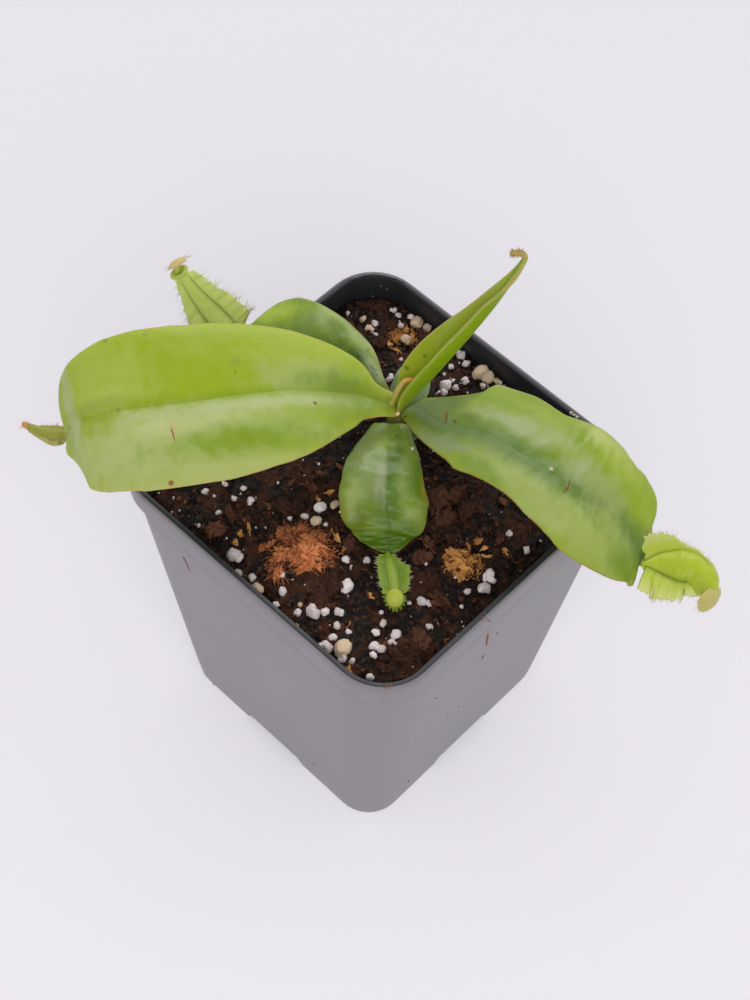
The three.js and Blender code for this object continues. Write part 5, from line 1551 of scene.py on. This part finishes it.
# A pitcher's stations run from its mouth to its tail. Each is a place and a radius, in millimetres. So are
# the widths of its two wings along their span. The wings are told apart by side: 1 and -1.
PITCHERS = {
    "pitcher_right": {
        "seed": 5.0, "front": (0.35, -0.42, 0.85), "rings": 90, "sides": 44, "uneven": 0.05,
        "wing_root": 52, "wing_lean": 82, "wing_span": (0.22, 0.985), "teeth": 13, "wing_curl": 0.12,
        "pleats": 0.025, "frill": 0.12, "wing_end": {1: 0.975, -1: 0.985},
        "sweep": {1: (-0.0032, 0.0048), -1: (0, 0.0022)}, "band": (-104, 24, 0.06, 0.44), "hairs": 150,
        "hair_length": (0.0004, 0.0011), "lid_hairs": 26,
        "tints": [
            (174, 190, 46), (158, 180, 28), (176, 190, 62), (100, 128, 16), (200, 200, 136),
            (188, 180, 108), (178, 156, 92), (198, 172, 132),
        ],
        "wing_widths": {
            1: (1, 3.1, 4.3, 5, 6.1, 7, 5.6), -1: (0.3, 0.6, 1.3, 2.7, 3.7, 4.3, 4.2),
        },
        "stations": [
            (64, 24.4, 81.6, 1.8), (62, 25.2, 81.1, 3.3), (59, 25.5, 80.4, 4.3), (55.8, 23.8, 80.2, 4.2),
            (53, 21.4, 81.2, 2.6), (51.5, 19.1, 82.9, 0.6),
        ],
        "lid": {
            "centre": (0.0654, 0.0226, 0.0822), "length": 0.0036, "width": 0.0019,
            "along": (0.1, -0.95, 0.25), "normal": (0.7, 0.1, 0.7),
        },
    },
    "pitcher_front": {
        "seed": 9.0, "front": (0, 0, 1), "rings": 70, "sides": 36, "uneven": 0.04, "wing_root": 44,
        "wing_lean": 74, "wing_span": (0.0, 0.98), "teeth": 9, "pleats": 0.12, "band": (0, 14, 0.0, 0.5),
        "hairs": 60, "hair_length": (0.0003, 0.0009), "lid_hairs": 22, "lid_teeth": 10,
        "tints": [
            (134, 158, 40), (106, 134, 26), (112, 140, 34), (64, 90, 18), (146, 160, 66), (178, 188, 72),
            (166, 174, 50), (198, 202, 112),
        ],
        "wing_widths": {
            1: (1.6, 1.8, 1.7, 1.7, 1.7, 1.5), -1: (1.4, 1.9, 2.2, 2.6, 1.3, 0.8, 0.6),
        },
        "stations": [
            (22.2, -18.7, 80.2, 1.6), (20.2, -16.8, 79.6, 1.8), (17.8, -14.9, 79.2, 1.9),
            (15.8, -13.4, 79.1, 1.5), (14.3, -12.2, 79.2, 0.6),
        ],
        "lid": {
            "centre": (0.0226, -0.0191, 0.0812), "length": 0.00172, "width": 0.00166,
            "along": (0.7, -0.7, 0.1), "normal": (0.35, -0.4, 0.84),
        },
    },
    "pitcher_back": {
        "seed": 13.0, "front": (0.55, -0.3, 0.78), "rings": 90, "sides": 40, "uneven": 0.025,
        "wing_root": 40, "wing_lean": 76, "wing_span": (0.02, 0.95), "teeth": 19,
        "sweep": {1: (0, 0.0002), -1: (0, 0.002)}, "mouth_depth": 0.0016, "hairs": 150,
        "hair_length": (0.0006, 0.0021), "lid_hairs": 34,
        "tints": [
            (208, 224, 114), (194, 214, 92), (214, 226, 124), (110, 146, 42), (206, 214, 146),
            (204, 184, 124), (190, 160, 104), (196, 150, 110),
        ],
        "wing_widths": {
            1: (1.8, 2.8, 3.7, 4.2, 4.6, 5, 5), -1: (1.2, 2.6, 4.2, 5.4, 5.6, 4.4, 2),
        },
        "stations": [
            (-59.1, 2.2, 88.2, 1.6), (-56.6, 3.3, 83.2, 2.4), (-53, 4.6, 78.4, 3.4), (-48.6, 5, 75.6, 3.6),
            (-45.2, 4.6, 75.6, 2.2), (-43.6, 4.2, 77.6, 0.6),
        ],
        "lid": {
            "centre": (-0.0604, 0.0027, 0.09), "length": 0.0021, "width": 0.0017,
            "along": (0.36, 0.86, 0.36), "normal": (-0.6, -0.1, 0.79),
        },
    },
    "pitcher_left": {
        "seed": 19.0, "front": (0, 0, 1), "rings": 60, "sides": 32, "uneven": 0.04, "wing_root": 60,
        "wing_lean": 80, "wing_span": (0.15, 0.85), "teeth": 7, "hairs": 46,
        "hair_length": (0.0004, 0.0012), "lid_hairs": 18,
        "tints": [
            (150, 150, 62), (118, 134, 40), (160, 156, 74), (96, 112, 30), (176, 158, 96), (186, 144, 84),
            (176, 120, 70), (176, 108, 64),
        ],
        "wing_widths": {
            1: (0.3, 0.7, 0.8, 0.4), -1: (0.3, 0.7, 0.8, 0.4),
        },
        "stations": [
            (-52.6, -43.8, 85.8, 0.8), (-50.4, -42.7, 85, 1.3), (-48.2, -41.4, 84.6, 1.8),
            (-46.8, -40.3, 85.2, 1.4), (-45.3, -40.3, 85.8, 0.6),
        ],
        "lid": {
            "centre": (-0.0532, -0.0441, 0.0865), "length": 0.0009, "width": 0.0007,
            "along": (-0.6, -0.3, 0.7), "normal": (0.3, 0, 0.9),
        },
    },
}
WING_THICKNESS = 0.00045
WING_EDGE = 0.00014
WING_COLUMNS = 14
LID_THICKNESS = 0.00045
MOUTH_RING = 0.00042
CUP_FLOOR = 0.55
CUP_RIM = 0.72
HAIR_RADII = [0.00004, 0.000036, 0.000028, 0.00002, 0.00001]
TOOTH_RADII = [0.00044, 0.00042, 0.00032, 0.0002, 0.00005]
LIP_GREEN = (182, 196, 92)
LIP_SHADE = (150, 178, 60)


def wing_rings(pitcher, frames, side):
    """One wing as rings along its span, and the places and directions of its outer edge."""
    first, last = pitcher["wing_span"]
    root_angle = math.radians(side * pitcher["wing_root"])
    lean = math.radians(side * pitcher["wing_lean"])
    widths = pitcher["wing_widths"][side]
    last = min(last, pitcher["wing_end"][side])
    used = [frame for step, frame in enumerate(frames) if first <= step / (len(frames) - 1) <= last]
    rings = []
    edge = []
    steps = len(used) - 1
    for step, (values, point, tangent, across, up) in enumerate(used):
        share = step / steps
        root_out = across * math.cos(root_angle) + up * math.sin(root_angle)
        out = across * math.cos(lean) + up * math.sin(lean)
        flat = (across * -math.sin(lean) + up * math.cos(lean)) * side
        tooth = abs(math.sin(math.pi * pitcher["teeth"] * share + side))
        ragged = noise.noise(Vector((share * 14, pitcher["seed"], side)))
        torn = noise.noise(Vector((share * 55, pitcher["seed"], 4 * side)))
        width = MM * np.interp(share, np.linspace(0, 1, len(widths)), widths)
        width *= 0.86 + 0.10 * tooth ** 0.6 + 0.16 * ragged + 0.10 * torn
        swing = math.sin(math.pi * pitcher["teeth"] * share * 0.9 + 2 * side)
        above = []
        below = []
        for column in range(WING_COLUMNS + 1):
            w = column / WING_COLUMNS
            frill = noise.noise(Vector((share * 0.8 * pitcher["teeth"], pitcher["seed"], 3 * side)))
            folds = pitcher["frill"] * frill + pitcher["pleats"] * swing
            bend = width * (-pitcher["wing_curl"] * w * w + folds * w)
            thick = WING_THICKNESS + (WING_EDGE - WING_THICKNESS) * w
            if column == WING_COLUMNS:
                thick = 0.4 * WING_EDGE
            start = point + root_out * (values[3] * 0.93)
            middle = start + out * (width * w - 0.0002 * (1 - w)) + flat * bend
            middle += tangent * (np.interp(share, (0, 1), pitcher["sweep"][side]) * w)
            above.append(middle + flat * (thick / 2))
            below.append(middle - flat * (thick / 2))
        rings.append(above + below[::-1])
        edge.append((above[-1], out, tangent))
    return rings, edge


def lid_parts(pitcher):
    """A domed oval lid with a raised rim, as rings, and the places and directions of its border."""
    lid = pitcher["lid"]
    normal = Vector(lid["normal"]).normalized()
    along = Vector(lid["along"])
    along = (along - normal * along.dot(normal)).normalized()
    beside = normal.cross(along)
    centre = Vector(lid["centre"])
    around = 48
    rings = []
    border = []
    profile = [(0.02, 0.95), (0.2, 0.93), (0.4, 0.82), (0.6, 0.62), (0.76, 0.40), (0.86, 0.34), (0.94, 0.36),
               (0.99, 0.20), (1.0, 0.0), (0.98, -0.2), (0.9, -0.3), (0.7, -0.35), (0.4, -0.3), (0.02, -0.25)]
    for distance, height in profile:
        ring = []
        for step in range(around):
            angle = 2 * math.pi * step / around
            ragged = noise.noise(Vector((2.2 * math.cos(angle), 2.2 * math.sin(angle), pitcher["seed"])))
            away = distance * (1 + 0.05 * ragged)
            droop = -0.00035 * distance ** 4 * (1 + ragged)
            place = centre + along * (lid["length"] * away * math.cos(angle))
            place += beside * (lid["width"] * away * math.sin(angle))
            place += normal * (LID_THICKNESS * height + droop)
            ring.append(place)
            if distance == 1.0:
                border.append((place, (place - centre).normalized(), normal))
        rings.append(ring)
    return rings, border


def mouth_ring(frame, radius):
    """The rolled lip round an open mouth as rings of points: two ridges, crossed by fine ribs."""
    _, point, tangent, across, up = frame
    rings = []
    around = 96
    for step in range(around + 1):
        angle = 2 * math.pi * step / around
        out = across * math.cos(angle) + up * math.sin(angle)
        rib = 1 + 0.10 * math.sin(28 * angle)
        ring = []
        for turn in range(16):
            small = 2 * math.pi * turn / 16
            ridge = MOUTH_RING * rib * (1 + 0.22 * math.cos(3 * small))
            away = radius + ridge * math.cos(small)
            ring.append(point + out * away + tangent * (ridge * math.sin(small)))
        rings.append(ring)
    return rings


def hair_strands(rng, roots, lengths):
    """Tapered hairs on a list of roots. A root is its place, the way it points and a way to lean."""
    strands = []
    for place, out, lean in roots:
        length = rng.uniform(*lengths)
        way = (out + lean * rng.gauss(0, 0.35) + Vector((rng.gauss(0, 0.25) for _ in range(3)))).normalized()
        sag = Vector((rng.gauss(0, 0.3), rng.gauss(0, 0.3), rng.gauss(0, 0.3)))
        line = []
        for step in range(5):
            share = step / 4
            sunk = place - way * 0.00005
            line.append(sunk + way * (length * share) + sag * (length * 0.35 * share * share))
        strands.append((line, HAIR_RADII, rng.random()))
    return strands


def flesh(name, colour_a, colour_b, seed, pitcher, edge="edge"):
    """A fleshy skin of two greens in soft patches, with painted shade in its creases, and paler towards its
    edge.
    """
    made, tree, shader = new_material(name, 0.4, 0.3, {
        "Subsurface Weight": 0.25, "Subsurface Radius": (0.7, 1.0, 0.2), "Subsurface Scale": 0.0008,
    })
    skin = use_group(tree, grain, Size=0.00045, Depth=0.00003, Roundness=0.55)
    colour = two_tone(tree, patch_mask(tree, 0.0035, 0.5, 0.3, seed), srgb(*colour_a), srgb(*colour_b))
    colour = laid_on(tree, patch_mask(tree, 0.0008, 0.3, 0.12, seed + 3), colour, colour_a, 0.4)
    # Painted shade: a darker green laid in the creases where the wings join the body.
    colour = laid_on(tree, stored(tree, "crease_shade"), colour, pitcher["crease_shade"], 0.75)
    colour = laid_on(tree, stored(tree, "outer"), colour, pitcher[edge], 0.65)
    wire(tree, shader, {"Base Color": colour, "Normal": (skin, "Normal")})
    return made


pale_hair = toned_material("pale_hair", srgb(176, 182, 120), srgb(222, 210, 186), 0.5, 0.00001, 0.0003)
red_hair = toned_material("red_hair", srgb(150, 84, 54), srgb(214, 160, 124), 0.5, 0.00001, 0.0003)
for name, own in PITCHERS.items():
    pitcher = {**COMMON_PITCHER, **own, **dict(zip(PITCHER_TINTS, own["tints"]))}
    rng = random.Random(int(pitcher["seed"]))
    stations = [[MM * number for number in row] for row in pitcher["stations"]]
    tail = Vector(stations[-1][:3])
    before_tail = Vector(stations[-2][:3])
    rings, frames = round_rings(stations, pitcher["rings"], pitcher["sides"], pitcher["front"],
                                pitcher["uneven"], pitcher["seed"])
    tail_out = (tail - before_tail).normalized()
    rings.append([Vector(point) + tail_out * 0.0006 for point in rings[-1]])
    mouth_values, mouth_point, mouth_tangent, _, _ = frames[0]
    if pitcher["mouth_depth"]:
        depth = mouth_tangent * pitcher["mouth_depth"]
        rings.insert(0, [mouth_point + (Vector(p) - mouth_point) * CUP_RIM for p in rings[0]])
        floor_share = CUP_FLOOR / CUP_RIM
        rings.insert(0, [mouth_point + (Vector(p) - mouth_point) * floor_share + depth for p in rings[0]])
    else:
        ends = rounded_end(rings[0], mouth_point, -mouth_tangent, 0.6 * mouth_values[3])
        rings = ends[::-1] + rings
    body = lofted(name + "_body", rings)
    # Painted shade along the body's wing roots, and the pale bands, held per point.
    crease_shades = []
    bands = []
    first, last = pitcher["wing_span"]
    band_angle, band_half, band_from, band_to = pitcher["band"]
    for ring in range(len(rings)):
        share = ring / (len(rings) - 1)
        inside = smooth(share, band_from, band_from + 0.08) * (1 - smooth(share, band_to - 0.08, band_to))
        for step in range(pitcher["sides"]):
            turn = 360 * step / pitcher["sides"]
            apart = (min(turn, 360 - turn) - pitcher["wing_root"]) / 9
            crease_shades.append(math.exp(-(apart**2)) * smooth(share, first, first + 0.1))
            aside = abs((turn - band_angle + 180) % 360 - 180)
            bands.append((1 - smooth(aside, 0.5 * band_half, band_half)) * inside)
    store(body, "crease_shade", crease_shades)
    store(body, "outer", bands)
    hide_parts(name)
    body_skin = flesh(name + "_flesh", pitcher["body"], pitcher["shade"], pitcher["seed"], pitcher)
    dress(body, body_skin)

    wing_points = []
    wing_faces = []
    roots = []
    for side in (1, -1):
        rings, edge = wing_rings(pitcher, frames, side)
        points, faces = skin_parts(rings)
        wing_faces += [tuple(number + len(wing_points) for number in face) for face in faces]
        wing_points += points
        for _ in range(pitcher["hairs"] // 2):
            roots.append(edge[rng.randrange(2, len(edge) - 2)])
    wings = new_mesh(name + "_wings", wing_points, wing_faces)
    ring_size = 2 * (WING_COLUMNS + 1)
    across_wing = [min(number % ring_size, ring_size - 1 - number % ring_size) / WING_COLUMNS
                   for number in range(len(wing_points))]
    store(wings, "outer", [smooth(w, 0.35, 1.0) for w in across_wing])
    # Painted shade along each wing's root.
    store(wings, "crease_shade", [1 - smooth(w, 0.0, 0.22) for w in across_wing])
    wing_skin = flesh(name + "_wing_skin", pitcher["wing"], pitcher["body"], pitcher["seed"] + 1, pitcher)
    dress(wings, wing_skin)

    rings, border = lid_parts(pitcher)
    if pitcher["mouth_depth"]:
        lip = lofted(name + "_mouth", mouth_ring(frames[0], mouth_values[3]))
        dress(lip, flesh(name + "_lip_skin", LIP_GREEN, LIP_SHADE, 2.0, pitcher))
    lid = lofted(name + "_lid", rings)
    lid_shares = [ring / (len(rings) - 1) for ring in range(len(rings)) for _ in rings[0]]
    store(lid, "outer", [smooth(share, 0.45, 0.62) * (1 - smooth(share, 0.7, 0.8)) for share in lid_shares])
    lid_skin = flesh(name + "_lid_skin", pitcher["lid_colour"], pitcher["lid_shade"], pitcher["seed"] + 2,
                     pitcher, "lid_rim")
    dress(lid, lid_skin)
    lid_normal = Vector(pitcher["lid"]["normal"]).normalized()
    neck_end = Vector(pitcher["lid"]["centre"]) - lid_normal * 0.0002
    neck_start = mouth_point - frames[0][3] * (0.8 * mouth_values[3]) + mouth_tangent * 0.0006
    neck_line = [(*neck_start, 0.0007), (*((neck_start + neck_end) / 2), 0.0006), (*neck_end, 0.0005)]
    neck = lofted(name + "_neck", round_rings(neck_line, 12, 16)[0])
    neck_skin = flesh(name + "_neck_skin", pitcher["body"], pitcher["wing"], pitcher["seed"], pitcher)
    dress(neck, neck_skin)

    hairs = hair_strands(rng, roots, pitcher["hair_length"])
    dress(strands_piece(name + "_hairs", hairs, 4), pale_hair)
    lid_roots = [border[rng.randrange(len(border))] for _ in range(pitcher["lid_hairs"])]
    teeth = []
    for tooth in range(pitcher["lid_teeth"]):
        place, out, normal = border[round((tooth / 9 - 0.5) * 26) % len(border)]
        root = place - normal * 0.0008 - out * 0.0003
        reach = rng.uniform(0.0008, 0.0016)
        line = [root + out * (reach * share) - normal * (0.0004 * share) for share in (0, 0.3, 0.6, 0.85, 1)]
        teeth.append((line, TOOTH_RADII, 0.5))
    if teeth:
        lid_teeth = strands_piece(name + "_lid_teeth", teeth, 8)
        teeth_skin = flesh(name + "_teeth_skin", pitcher["wing"], pitcher["body"], 3.0, pitcher)
        dress(lid_teeth, teeth_skin)
    lid_hairs = strands_piece(name + "_lid_hairs", hair_strands(rng, lid_roots, pitcher["hair_length"]), 4)
    dress(lid_hairs, red_hair if name == "pitcher_left" else pale_hair)
